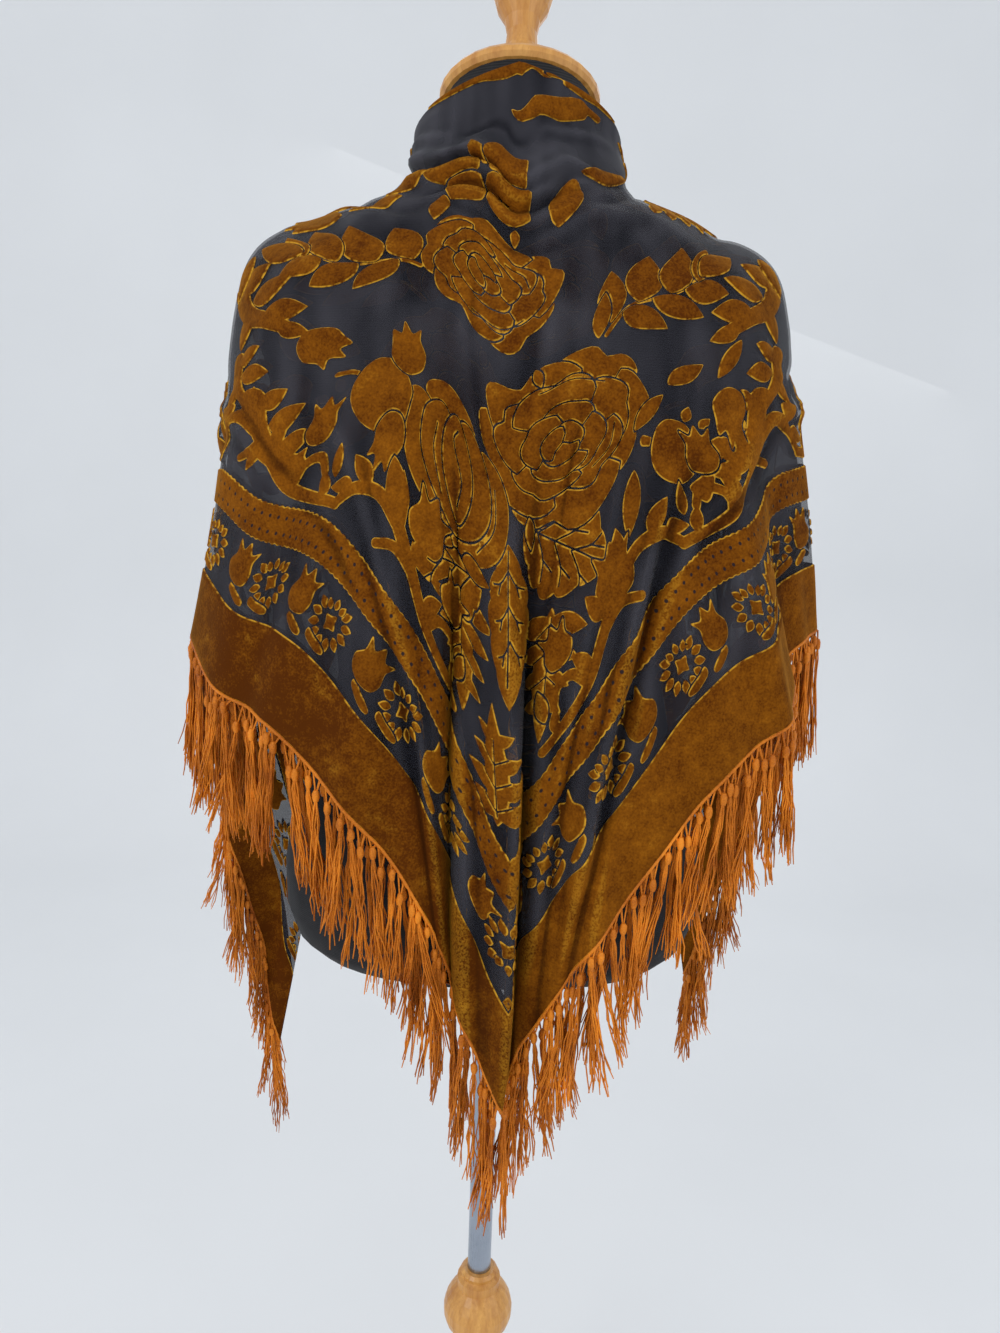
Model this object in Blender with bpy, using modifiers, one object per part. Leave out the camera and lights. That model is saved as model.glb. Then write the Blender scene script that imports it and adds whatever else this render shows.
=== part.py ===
# Burnout velvet shawl on a limbless dress form, seen from the wearer's back.
#
# Frame: metres, +Z up, origin on the floor on the stand's axis.  The wearer's back faces -Y and
# the wearer's right hand side is at +X.
#
# The shawl is one square of cloth folded once, corner to corner, and worn as a triangle.  It is
# described in flat polar coordinates about M, the middle of the folded edge:
#   direction  angle in degrees from the line that runs to the back corner, so 0 is the centre
#              back and -90 and +90 run along the folded edge to the two ends;
#   distance   metres from M, measured on the cloth.
# GUIDES says where the cloth of each direction lies in space, and FOLDS and ROLLS press the
# hanging folds and the crumpled collar into it.

import math

import bmesh
import bpy
import numpy as np
from mathutils import Matrix

# Driving sizes of the shawl.
SQUARE_SIDE = 1.22
HALF_DIAGONAL = SQUARE_SIDE / math.sqrt(2.0)
WALL = 0.0024
SEAM_GAP = 0.0012
COLLAR_DEPTH = 0.145
SIDE_SEAM = 46.0
SLACK_DEPTH = 0.42
END_SHIFT = 0.050
CORNER_SHIFT = 0.008
CORNER_SKEW = 0.018
# The right side is pulled up by RAISED_SIDE, most at RAISED_AT degrees.
RAISED_SIDE = 0.020
RAISED_AT = 46.0
RAISED_REACH = 10.0

# Middle of the folded edge, at the nape, and the ring that the collar follows round the neck.
NAPE_HEIGHT = 1.462
COLLAR_RADIUS = 0.0675
COLLAR_FLARE = 0.016

# Fringe: one lock for each knot, hanging from a strip just below the hem.
FRINGE_LENGTH = 0.115
LOCK_PITCH = 0.0124
END_LOCK_PITCH = 0.0215
LOCK_WIDTH = 0.0036
LOCK_TIP = 0.0020
STRIP_HEIGHT = 0.0045
STRIP_THICKNESS = 0.0030
STRIP_GAP = 0.0018
LOCK_SPREAD = 0.30
CORNER_CLEARANCE = 0.018

# Dress form and stand.
NECK_RADIUS = 0.056
NECK_TOP = 1.4495
NECK_TILT = math.radians(18.0)
FORM_BOTTOM = 0.775
REST_GAP = 0.0003
CAP_RADIUS = 0.0605
CAP_THICKNESS = 0.012
POLE_RADIUS = 0.011
BALL_RADIUS = 0.033
BALL_CENTRE = 0.392
COLUMN_RADIUS = 0.021
BASE_RADIUS = 0.190
BASE_THICKNESS = 0.022

# One row for each guide direction: the length that the crumpled collar and the slack of the
# drape take up, the angle round the neck and the height where the cloth leaves the neck, then a
# place on the slope of the shoulder, one on the brow where it begins to hang, and one near the
# hem that it falls through.
GUIDE_COLUMNS = ("direction", "take_up", "neck_angle", "neck_z", "slope_x", "slope_y", "slope_z",
                 "brow_x", "brow_y", "brow_z", "fall_x", "fall_y", "fall_z")
GUIDES = (
    (0, 0.110, 0, 1.392, 0.000, -0.108, 1.322, 0.000, -0.138, 1.235, 0.000, -0.150, 0.722),
    (10, 0.144, 12, 1.392, 0.032, -0.107, 1.325, 0.045, -0.138, 1.240, 0.070, -0.152, 0.880),
    (20, 0.156, 26, 1.392, 0.066, -0.103, 1.332, 0.090, -0.133, 1.252, 0.155, -0.138, 0.985),
    (30, 0.120, 41, 1.391, 0.098, -0.094, 1.342, 0.137, -0.120, 1.270, 0.214, -0.096, 1.020),
    (38, 0.097, 54, 1.391, 0.122, -0.076, 1.351, 0.172, -0.097, 1.289, 0.246, -0.030, 1.050),
    (53, 0.036, 90, 1.396, 0.138, -0.005, 1.374, 0.207, -0.006, 1.325, 0.250, 0.052, 1.035),
    (66, -0.004, 110, 1.404, 0.122, 0.062, 1.370, 0.180, 0.098, 1.292, 0.250, 0.112, 0.965),
    (78, -0.056, 114, 1.412, 0.095, 0.080, 1.374, 0.135, 0.126, 1.288, 0.254, 0.142, 0.860),
    (90, -0.145, 114, 1.424, 0.070, 0.076, 1.388, 0.086, 0.128, 1.298, 0.214, 0.146, 0.620),
)

# One row for each hanging fold: its direction, the distance where it starts and where it is
# full, how far it stands out at the hem (a trough is negative) and its half width.
FOLD_COLUMNS = ("direction", "start", "full", "height", "half_width")
FOLDS = (
    (-86.0, 0.25, 0.60, 0.012, 0.030),
    (-79.5, 0.25, 0.60, -0.012, 0.032),
    (-72.0, 0.25, 0.60, 0.013, 0.032),
    (-64.5, 0.28, 0.60, -0.012, 0.030),
    (-56.0, 0.28, 0.60, 0.012, 0.028),
    (-47.0, 0.30, 0.58, -0.009, 0.026),
    (-37.0, 0.30, 0.58, 0.003, 0.026),
    (-26.0, 0.34, 0.60, -0.008, 0.026),
    (-14.5, 0.30, 0.60, 0.012, 0.026),
    (-5.8, 0.36, 0.62, -0.015, 0.022),
    (0.3, 0.34, 0.60, 0.013, 0.019),
    (3.6, 0.34, 0.56, -0.021, 0.017),
    (9.6, 0.40, 0.62, 0.012, 0.022),
    (17.5, 0.42, 0.62, -0.006, 0.026),
    (27.5, 0.34, 0.58, 0.012, 0.024),
    (35.0, 0.36, 0.58, -0.014, 0.022),
    (43.0, 0.32, 0.58, 0.012, 0.026),
    (51.5, 0.33, 0.60, -0.011, 0.028),
    (60.0, 0.28, 0.60, 0.012, 0.030),
    (68.0, 0.28, 0.60, -0.012, 0.032),
    (76.0, 0.25, 0.60, 0.013, 0.032),
    (83.5, 0.25, 0.60, -0.011, 0.032),
)

# One row for each roll of the crumpled collar: its distance from M, its middle direction and
# reach, how far it stands out and its half width.
ROLL_COLUMNS = ("distance", "direction", "reach", "height", "half_width")
ROLLS = (
    (0.072, 18.0, 34.0, -0.003, 0.018),
    (0.108, -22.0, 40.0, 0.006, 0.019),
    (0.150, -8.0, 26.0, -0.004, 0.020),
    (0.130, 62.0, 26.0, 0.003, 0.020),
    (0.070, -70.0, 24.0, 0.003, 0.022),
)

# Sections of the dress form, bottom to top: height, half width, depth to the back, depth to
# the front.
SECTION_COLUMNS = ("z", "half_width", "back", "front")
TORSO_SECTIONS = (
    (0.775, 0.135, 0.078, 0.078),
    (0.780, 0.152, 0.090, 0.090),
    (0.795, 0.168, 0.102, 0.104),
    (0.820, 0.177, 0.110, 0.112),
    (0.860, 0.178, 0.112, 0.114),
    (0.905, 0.170, 0.108, 0.110),
    (0.960, 0.148, 0.092, 0.100),
    (1.020, 0.134, 0.080, 0.092),
    (1.070, 0.138, 0.080, 0.096),
    (1.130, 0.154, 0.094, 0.110),
    (1.190, 0.170, 0.106, 0.116),
    (1.240, 0.184, 0.113, 0.110),
    (1.280, 0.195, 0.110, 0.101),
    (1.307, 0.199, 0.101, 0.092),
    (1.327, 0.196, 0.092, 0.084),
    (1.343, 0.184, 0.085, 0.078),
    (1.356, 0.162, 0.079, 0.072),
    (1.368, 0.130, 0.073, 0.067),
    (1.380, 0.096, 0.066, 0.062),
    (1.390, 0.073, 0.061, 0.058),
    (1.404, 0.061, 0.058, 0.056),
)
SECTION_SIDES = 36


def clear_scene():
    for old in list(bpy.data.objects):
        bpy.data.objects.remove(old, do_unlink=True)


def make_material(name, colour, roughness, metallic=0.0):
    material = bpy.data.materials.new(name)
    material.use_nodes = True
    shader = material.node_tree.nodes["Principled BSDF"]
    shader.inputs["Base Color"].default_value = (*colour, 1.0)
    shader.inputs["Roughness"].default_value = roughness
    shader.inputs["Metallic"].default_value = metallic
    return material


def add_object(name, mesh, material, collection):
    piece = bpy.data.objects.new(name, mesh)
    piece.data.materials.append(material)
    collection.objects.link(piece)
    return piece


def mesh_from(name, points, faces):
    """A mesh from worked-out points and faces, with its faces turned outwards."""
    mesh = bpy.data.meshes.new(name)
    mesh.from_pydata([tuple(point) for point in points], [], faces)
    work = bmesh.new()
    work.from_mesh(mesh)
    bmesh.ops.recalc_face_normals(work, faces=work.faces[:])
    work.to_mesh(mesh)
    work.free()
    return mesh


# Reading the tables.

def smooth_step(value):
    value = np.clip(value, 0.0, 1.0)
    return value * value * (3.0 - 2.0 * value)


def through_rows(positions, rows, where):
    """A smooth curve through the rows of a table, read at one place or at several."""
    where = np.atleast_1d(where)
    index = np.clip(np.searchsorted(positions, where) - 1, 0, len(positions) - 2)
    before = np.maximum(index - 1, 0)
    after = np.minimum(index + 2, len(positions) - 1)
    span = (positions[index + 1] - positions[index])[:, None]
    slope_low = (rows[index + 1] - rows[before]) / (positions[index + 1] - positions[before])[:, None]
    slope_high = (rows[after] - rows[index]) / (positions[after] - positions[index])[:, None]
    t = (where - positions[index])[:, None] / span
    return ((2 * t**3 - 3 * t**2 + 1) * rows[index] + (t**3 - 2 * t**2 + t) * span * slope_low
            + (3 * t**2 - 2 * t**3) * rows[index + 1] + (t**3 - t**2) * span * slope_high)


def both_sides(table):
    """The guide table with its mirrored rows.

    The left end is let down by END_SHIFT.  The back corner hangs CORNER_SHIFT to the right, and
    CORNER_SKEW lets the hem down on its right and takes it up on its left.  The shoulder's cloth
    takes up RAISED_SIDE more on the right, so that the hem hangs higher there.
    """
    rows = np.array(table, dtype=float)
    mirrored = rows[:0:-1].copy()
    for column, title in enumerate(GUIDE_COLUMNS):
        if title in ("direction", "neck_angle") or title.endswith("_x"):
            mirrored[:, column] *= -1.0
    full = np.vstack([mirrored, rows])
    share = full[:, 0] / 90.0
    beside = np.sign(share) * np.exp(-((np.abs(full[:, 0]) - 12.0) / 11.0) ** 2)
    full[:, GUIDE_COLUMNS.index("take_up")] += END_SHIFT * np.sign(share) * np.abs(share) ** 4
    full[:, GUIDE_COLUMNS.index("take_up")] -= CORNER_SKEW * beside
    raised = np.exp(-(((full[:, 0] - RAISED_AT) / RAISED_REACH) ** 2))
    full[:, GUIDE_COLUMNS.index("take_up")] += RAISED_SIDE * raised
    full[:, GUIDE_COLUMNS.index("fall_x")] += CORNER_SHIFT * np.exp(-((full[:, 0] / 24.0) ** 2))
    return full


GUIDE_ROWS = both_sides(GUIDES)


# The cloth's surface.

def hem_distance(direction):
    """Distance on the cloth from M to the hem in one direction."""
    quarter = math.radians(45.0)
    return HALF_DIAGONAL * math.cos(quarter) / math.cos(quarter - abs(math.radians(direction)))


def guide_path(direction, samples=180):
    """The way that the cloth of one direction takes from M, its length and its take-up."""
    row = dict(zip(GUIDE_COLUMNS, through_rows(GUIDE_ROWS[:, 0], GUIDE_ROWS, direction)[0]))
    knots = []
    for share in np.linspace(0.0, 1.0, 7):
        angle = math.radians(row["neck_angle"]) * share
        radius = COLLAR_RADIUS + COLLAR_FLARE * share**2
        height = NAPE_HEIGHT + (row["neck_z"] - NAPE_HEIGHT) * share
        knots.append((radius * math.sin(angle), -radius * math.cos(angle), height))
    for station in ("slope", "brow", "fall"):
        knots.append(tuple(row[station + axis] for axis in ("_x", "_y", "_z")))
    knots = np.array(knots)
    steps = np.sqrt(np.linalg.norm(np.diff(knots, axis=0), axis=1))
    places = np.concatenate([[0.0], np.cumsum(steps)])
    curve = through_rows(places, knots, np.linspace(0.0, places[-1], samples))
    run = np.concatenate([[0.0], np.cumsum(np.linalg.norm(np.diff(curve, axis=0), axis=1))])
    return curve, run, row["take_up"]


def base_column(direction, distances):
    """Points of the cloth before its folds, at given distances along one direction.

    The length that the drape doesn't need is taken up in the crumpled collar and below it,
    within SLACK_DEPTH of M, so that the bands along the hem keep their true widths.
    """
    curve, run, take_up = guide_path(direction)
    distances = np.asarray(distances, dtype=float)
    near = distances * (SLACK_DEPTH - take_up) / SLACK_DEPTH
    lengths = np.where(distances < SLACK_DEPTH, near, distances - take_up)
    points = np.stack([np.interp(lengths, run, curve[:, axis]) for axis in range(3)], axis=1)
    beyond = np.maximum(lengths - run[-1], 0.0)
    ending = (curve[-1] - curve[-2]) / np.linalg.norm(curve[-1] - curve[-2])
    return points + beyond[:, None] * ending


def fold_height(direction, distances):
    """How far the folds and rolls push the cloth outwards."""
    distances = np.asarray(distances, dtype=float)
    height = np.zeros_like(distances)
    for row in FOLDS:
        fold = dict(zip(FOLD_COLUMNS, row))
        across = math.radians(direction - fold["direction"]) * distances
        grown = smooth_step((distances - fold["start"]) / (fold["full"] - fold["start"]))
        height += fold["height"] * grown * np.exp(-((across / fold["half_width"]) ** 2))
    for row in ROLLS:
        roll = dict(zip(ROLL_COLUMNS, row))
        along = (direction - roll["direction"]) / roll["reach"]
        across = (distances - roll["distance"]) / roll["half_width"]
        height += roll["height"] * math.exp(-along**2) * np.exp(-across**2)
    return height


def unit_cross(first, second):
    """The unit vector square to two others; across the cloth and down it, it points inwards."""
    result = np.cross(first, second)
    return result / np.maximum(np.linalg.norm(result, axis=-1, keepdims=True), 1e-12)


def turned_inwards(column, direction, distances, turn, step):
    """Unit vectors into the cloth along one direction, read from the points around."""
    distances = np.asarray(distances, dtype=float)
    aside = column(min(direction + turn, 90.0), distances)
    aside = aside - column(max(direction - turn, -90.0), distances)
    ahead = column(direction, distances + step)
    ahead = ahead - column(direction, np.maximum(distances - step, 0.0))
    return unit_cross(aside, ahead)


def folded_column(direction, distances):
    """Points of the folded cloth along one direction."""
    inward = turned_inwards(base_column, direction, distances, 1.2, 0.010)
    return base_column(direction, distances) - inward * fold_height(direction, distances)[:, None]


def wall_column(direction, distances):
    """Outer and inner points of the cloth's wall along one direction."""
    outer = folded_column(direction, distances)
    inward = turned_inwards(folded_column, direction, distances, 0.25, 0.003)
    return outer, outer + inward * WALL


def spread_columns(low, high, count):
    """Directions from low to high, closer together where the folds are."""
    fine = np.linspace(low, high, 1200)
    weight = np.full_like(fine, 0.55)
    for row in FOLDS:
        fold = dict(zip(FOLD_COLUMNS, row))
        half = math.degrees(fold["half_width"] / hem_distance(fold["direction"]))
        weight += abs(fold["height"]) / 0.012 * np.exp(-(((fine - fold["direction"]) / half / 1.2) ** 2))
    total = np.concatenate([[0.0], np.cumsum((weight[1:] + weight[:-1]) / 2)])
    return np.interp(np.linspace(0.0, total[-1], count), total, fine)


def wall_mesh(name, columns):
    """One closed wall from columns of outer and inner points, all of one length."""
    rows = len(columns[0][0])
    count = len(columns)
    points = [point for outer, _ in columns for point in outer]
    points += [point for _, inner in columns for point in inner]
    half = count * rows

    def at(column, row, side):
        return side * half + column * rows + row

    faces = []
    for column in range(count - 1):
        for row in range(rows - 1):
            faces.append((at(column, row, 0), at(column + 1, row, 0),
                          at(column + 1, row + 1, 0), at(column, row + 1, 0)))
            faces.append((at(column, row, 1), at(column, row + 1, 1),
                          at(column + 1, row + 1, 1), at(column + 1, row, 1)))
    rim = [(column, 0) for column in range(count)]
    rim += [(count - 1, row) for row in range(1, rows)]
    rim += [(column, rows - 1) for column in range(count - 2, -1, -1)]
    rim += [(0, row) for row in range(rows - 2, 0, -1)]
    for (c0, r0), (c1, r1) in zip(rim, rim[1:] + rim[:1]):
        faces.append((at(c0, r0, 0), at(c1, r1, 0), at(c1, r1, 1), at(c0, r0, 1)))
    return mesh_from(name, points, faces)


def cloth_piece(name, low, high, columns, rows, material, collection):
    """A stretch of the shawl from below the collar to the hem."""
    walls = []
    for direction in spread_columns(low, high, columns):
        near = COLLAR_DEPTH + SEAM_GAP
        distances = np.linspace(near, hem_distance(direction), rows)
        walls.append(wall_column(direction, distances))
    return add_object(name, wall_mesh(name, walls), material, collection)


def collar_piece(name, columns, rows, material, collection):
    """The stretch round the neck, a half disc about M."""
    start = 0.006
    walls = []
    for direction in np.linspace(-90.0, 90.0, columns):
        walls.append(wall_column(direction, np.linspace(start, COLLAR_DEPTH, rows)))
    return add_object(name, wall_mesh(name, walls), material, collection)


# The fringe.

def hem_frame(length, side, beyond):
    """A place past the hem: the middle of the wall there and the way out of the cloth.

    The place lies at a length along the hem from the back corner, and beyond is how far past
    the hem it is, measured on the cloth.
    """
    across = (length + beyond) / math.sqrt(2.0)
    along = HALF_DIAGONAL - (length - beyond) / math.sqrt(2.0)
    direction = side * math.degrees(math.atan2(across, along))
    outer, inner = wall_column(direction, [math.hypot(across, along)])
    outward = outer[0] - inner[0]
    return (outer[0] + inner[0]) / 2, outward / np.linalg.norm(outward)


def lock_direction(along, away):
    """Straight down, or turned away from a steep hem so that the locks stay apart."""
    down = np.array((0.0, 0.0, -1.0))
    for share in np.linspace(0.0, 3.0, 31):
        direction = down + away * share
        direction /= np.linalg.norm(direction)
        if np.linalg.norm(np.cross(direction, along)) >= LOCK_SPREAD:
            break
    return direction


def fringe_piece(name, side, low, high, pitch, material, collection, seed):
    """A strip along one stretch of the hem, with a four-sided lock under every knot."""
    random = np.random.default_rng(seed)
    count = int((high - low) / pitch)
    first = low + (high - low - (count - 1) * pitch) / 2
    points = []
    faces = []
    for number in range(count):
        centre = first + number * pitch
        for shift in (-LOCK_WIDTH / 2, LOCK_WIDTH / 2):
            for beyond in (STRIP_GAP, STRIP_GAP + STRIP_HEIGHT):
                middle, outward = hem_frame(centre + shift, side, beyond)
                for reach in (0.5, -0.5):
                    points.append(middle + outward * STRIP_THICKNESS * reach)
    stations = 2 * count

    def at(station, corner):
        return station * 4 + corner

    hanging = []
    for station in range(0, stations, 2):
        along = points[at(station + 1, 2)] - points[at(station, 2)]
        away = points[at(station, 2)] - points[at(station, 0)]
        hanging.append(lock_direction(along / np.linalg.norm(along), away / np.linalg.norm(away)))
    padded = np.array(hanging[:1] * 2 + hanging + hanging[-1:] * 2)
    hanging = (padded[:-4] + padded[1:-3] + padded[2:-2] + padded[3:-1] + padded[4:]) / 5

    for station in range(stations - 1):
        faces.append((at(station, 0), at(station + 1, 0), at(station + 1, 1), at(station, 1)))
        faces.append((at(station, 0), at(station, 2), at(station + 1, 2), at(station + 1, 0)))
        faces.append((at(station, 1), at(station + 1, 1), at(station + 1, 3), at(station, 3)))
        if station % 2:
            faces.append((at(station, 2), at(station, 3), at(station + 1, 3), at(station + 1, 2)))
            continue
        root = [at(station, 2), at(station + 1, 2), at(station + 1, 3), at(station, 3)]
        spots = [points[index] for index in root]
        centre = sum(spots) / 4
        sway = hanging[station // 2] * FRINGE_LENGTH * random.uniform(0.93, 1.0)
        tips = []
        for spot in spots:
            tips.append(len(points))
            points.append(centre + (spot - centre) * LOCK_TIP / LOCK_WIDTH + sway)
        for corner in range(4):
            following = (corner + 1) % 4
            faces.append((root[corner], root[following], tips[following], tips[corner]))
        faces.append(tuple(tips))
    faces.append((at(0, 0), at(0, 1), at(0, 3), at(0, 2)))
    last = stations - 1
    faces.append((at(last, 0), at(last, 2), at(last, 3), at(last, 1)))
    return add_object(name, mesh_from(name, points, faces), material, collection)


# The dress form.

def torso_piece(name, material, collection):
    """A smooth limbless torso, lofted through its sections, with a slanted neck top."""
    power = 2.35
    points = []
    rings = [dict(zip(SECTION_COLUMNS, row)) for row in TORSO_SECTIONS]
    angles = [2 * math.pi * side / SECTION_SIDES for side in range(SECTION_SIDES)]
    for ring in rings:
        for angle in angles:
            across = math.copysign(abs(math.sin(angle)) ** (2 / power), math.sin(angle))
            along = -math.copysign(abs(math.cos(angle)) ** (2 / power), math.cos(angle))
            depth = ring["back"] if along < 0 else ring["front"]
            points.append((ring["half_width"] * across, depth * along, ring["z"]))
    for angle in angles:
        y = -NECK_RADIUS * math.cos(angle)
        points.append((NECK_RADIUS * math.sin(angle), y, NECK_TOP - y * math.tan(NECK_TILT)))
    faces = []
    for ring in range(len(rings)):
        for side in range(SECTION_SIDES):
            following = (side + 1) % SECTION_SIDES
            low = ring * SECTION_SIDES
            high = low + SECTION_SIDES
            faces.append((low + side, low + following, high + following, high + side))
    faces.append(tuple(range(SECTION_SIDES)))
    faces.append(tuple(len(rings) * SECTION_SIDES + side for side in range(SECTION_SIDES)))
    piece = add_object(name, mesh_from(name, points, faces), material, collection)
    piece.data.shade_smooth()
    return piece


def turned_piece(name, profile, steps, material, collection):
    """A turned shape: a profile of radius and height, top to bottom, spun round the axis."""
    mesh = bpy.data.meshes.new(name)
    points = [(radius, 0.0, height) for radius, height in profile]
    mesh.from_pydata(points, [(i, i + 1) for i in range(len(points) - 1)], [])
    piece = add_object(name, mesh, material, collection)
    screw = piece.modifiers.new("Turned", "SCREW")
    screw.steps = steps
    screw.render_steps = steps
    screw.use_merge_vertices = True
    screw.merge_threshold = 0.00005
    screw.use_smooth_shade = True
    return piece


def arc(radius, height, bulge, start, end, steps):
    """Points of a round bead: a circle of radius bulge about a ring at radius and height."""
    profile = []
    for step in range(steps + 1):
        angle = math.radians(start + (end - start) * step / steps)
        profile.append((radius + bulge * math.cos(angle), height + bulge * math.sin(angle)))
    return profile


def neck_cap(name, material, collection):
    """The wooden disc that closes the neck, tilted with the neck's top."""
    half = CAP_THICKNESS / 2
    ring = CAP_RADIUS - half
    profile = [(0.0, half)] + arc(ring, 0.0, half, 90, -90, 5) + [(0.0, -half)]
    piece = turned_piece(name, profile, 32, material, collection)
    lift = (NECK_TOP + (half + REST_GAP) / math.cos(NECK_TILT))
    piece.matrix_world = Matrix.Translation((0.0, 0.0, lift)) @ Matrix.Rotation(-NECK_TILT, 4, "X")
    return piece


def finial(name, material, collection):
    """The turned handle on the neck cap: a collar bead with a groove and a plain knob."""
    foot = 0.0195
    profile = [(0.0, 0.098), (0.012, 0.096), (0.0195, 0.089), (0.0225, 0.079), (0.0195, 0.068),
               (0.0135, 0.058), (0.0115, 0.048), (0.0125, 0.036), (0.0165, 0.026),
               (foot, 0.018), (foot, 0.0095), (foot - 0.0025, 0.0080), (foot, 0.0065),
               (foot + 0.002, 0.0), (0.0, 0.0)]
    piece = turned_piece(name, profile, 20, material, collection)
    lift = NECK_TOP + (CAP_THICKNESS + 2 * REST_GAP) / math.cos(NECK_TILT)
    piece.matrix_world = Matrix.Translation((0.0, 0.0, lift)) @ Matrix.Rotation(-NECK_TILT, 4, "X")
    return piece


def pole(name, low, high, material, collection):
    work = bmesh.new()
    bmesh.ops.create_cone(work, cap_ends=True, segments=28, radius1=POLE_RADIUS,
                          radius2=POLE_RADIUS, depth=high - low)
    mesh = bpy.data.meshes.new(name)
    work.to_mesh(mesh)
    work.free()
    piece = add_object(name, mesh, material, collection)
    piece.location = (0.0, 0.0, (low + high) / 2)
    piece.data.shade_smooth()
    piece.data.set_sharp_from_angle(angle=math.radians(40.0))
    return piece


def stand_ball(name, material, collection):
    """The turned wooden ball under the pole, with a beaded top and a waist below."""
    top = BALL_CENTRE + BALL_RADIUS + 0.012
    profile = [(0.0, top), (0.015, top), (0.0175, top - 0.003), (0.0165, top - 0.007),
               (0.0205, top - 0.010)]
    profile += arc(0.0, BALL_CENTRE, BALL_RADIUS, 52, -52, 7)
    profile += [(0.0175, BALL_CENTRE - BALL_RADIUS + 0.001), (0.0165, BALL_CENTRE - 0.040),
                (0.0, BALL_CENTRE - 0.040)]
    return turned_piece(name, profile, 24, material, collection), top


def column(name, material, collection):
    """The plain turned column between the ball and the base."""
    top = BALL_CENTRE - 0.040 - REST_GAP
    bottom = BASE_THICKNESS + REST_GAP
    profile = [(0.0, top), (0.0165, top), (COLUMN_RADIUS, top - 0.030),
               (COLUMN_RADIUS + 0.002, top - 0.160), (COLUMN_RADIUS, bottom + 0.060),
               (COLUMN_RADIUS + 0.006, bottom + 0.022), (COLUMN_RADIUS + 0.014, bottom + 0.006),
               (COLUMN_RADIUS + 0.014, bottom), (0.0, bottom)]
    return turned_piece(name, profile, 28, material, collection)


def base(name, material, collection):
    """The round base disc that the stand rests on."""
    edge = 0.006
    profile = [(0.0, BASE_THICKNESS)]
    profile += arc(BASE_RADIUS - edge, BASE_THICKNESS - edge, edge, 90, 0, 3)
    profile += [(BASE_RADIUS, 0.002), (BASE_RADIUS - 0.002, 0.0), (0.0, 0.0)]
    return turned_piece(name, profile, 40, material, collection)


def build_shawl(collection):
    velvet = make_material("burnout_velvet", (0.42, 0.19, 0.04), 0.80)
    thread = make_material("fringe_thread", (0.72, 0.29, 0.05), 0.60)
    collar_piece("shawl_collar", 49, 8, velvet, collection)
    cloth_piece("shawl_back", -SIDE_SEAM + 0.04, SIDE_SEAM - 0.04, 66, 15, velvet, collection)
    cloth_piece("shawl_left_end", -90.0, -SIDE_SEAM - 0.04, 32, 14, velvet, collection)
    cloth_piece("shawl_right_end", SIDE_SEAM + 0.04, 90.0, 32, 14, velvet, collection)
    across = math.tan(math.radians(SIDE_SEAM))
    seam = HALF_DIAGONAL * across / (1.0 + across) * math.sqrt(2.0)
    end = SQUARE_SIDE - CORNER_CLEARANCE
    stretches = (("fringe_back_left", -1, CORNER_CLEARANCE, seam, LOCK_PITCH),
                 ("fringe_back_right", 1, CORNER_CLEARANCE, seam, LOCK_PITCH),
                 ("fringe_left_end", -1, seam, end, END_LOCK_PITCH),
                 ("fringe_right_end", 1, seam, end, END_LOCK_PITCH))
    for seed, (name, side, low, high, pitch) in enumerate(stretches):
        fringe_piece(name, side, low, high, pitch, thread, collection, seed)


def build_form(collection):
    cover = make_material("form_cover", (0.022, 0.024, 0.030), 0.75)
    wood = make_material("honey_wood", (0.58, 0.30, 0.10), 0.38)
    steel = make_material("pole_steel", (0.42, 0.46, 0.52), 0.30, 1.0)
    torso_piece("form_torso", cover, collection)
    neck_cap("neck_cap", wood, collection)
    finial("neck_finial", wood, collection)
    _, ball_top = stand_ball("stand_ball", wood, collection)
    pole("stand_pole", ball_top + REST_GAP, FORM_BOTTOM - REST_GAP, steel, collection)
    column("stand_column", wood, collection)
    base("stand_base", wood, collection)


def main():
    clear_scene()
    collection = bpy.data.collections.new("burnout_velvet_shawl_on_dress_form")
    bpy.context.scene.collection.children.link(collection)
    build_shawl(collection)
    build_form(collection)


main()
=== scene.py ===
"""A burnout velvet shawl on a dress form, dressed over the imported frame.

The shawl is one square of cloth folded corner to corner: an outer and an inner layer of sheer
ground with velvet flowers left standing on it, a rolled hem and a knotted fringe.  Flat places on
the cloth are pairs (u, v) in metres: u runs along the folded edge from its middle at the nape and
is positive at +X, and v runs down to the back corner.
"""

import collections
import functools
import math

import bmesh
import bpy
import numpy as np
from bpy.props import FloatProperty, FloatVectorProperty, IntProperty, PointerProperty
from mathutils import Matrix, Vector
from mathutils.geometry import delaunay_2d_cdt


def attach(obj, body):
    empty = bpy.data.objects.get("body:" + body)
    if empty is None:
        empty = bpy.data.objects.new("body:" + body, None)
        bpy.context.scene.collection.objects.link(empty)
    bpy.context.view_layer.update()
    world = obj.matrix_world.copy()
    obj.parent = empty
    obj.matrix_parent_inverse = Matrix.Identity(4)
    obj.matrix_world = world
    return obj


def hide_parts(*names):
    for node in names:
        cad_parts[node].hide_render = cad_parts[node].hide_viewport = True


bl_info = {
    "name": "Burnout Velvet Shawl on a Dress Form",
    "version": (1, 0),
    "blender": (4, 5, 0),
    "location": "3D View > Sidebar > Shawl",
    "description": "Builds the shawl's layers, velvet, hem and fringe, and the form's finishes",
    "category": "Object",
}

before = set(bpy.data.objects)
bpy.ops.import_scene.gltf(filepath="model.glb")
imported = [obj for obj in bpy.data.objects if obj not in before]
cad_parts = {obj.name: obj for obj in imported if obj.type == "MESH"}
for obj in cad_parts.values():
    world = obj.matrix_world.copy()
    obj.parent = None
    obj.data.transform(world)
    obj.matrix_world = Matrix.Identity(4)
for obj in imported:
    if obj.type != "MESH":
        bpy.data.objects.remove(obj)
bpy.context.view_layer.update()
BODY = "root"

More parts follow.
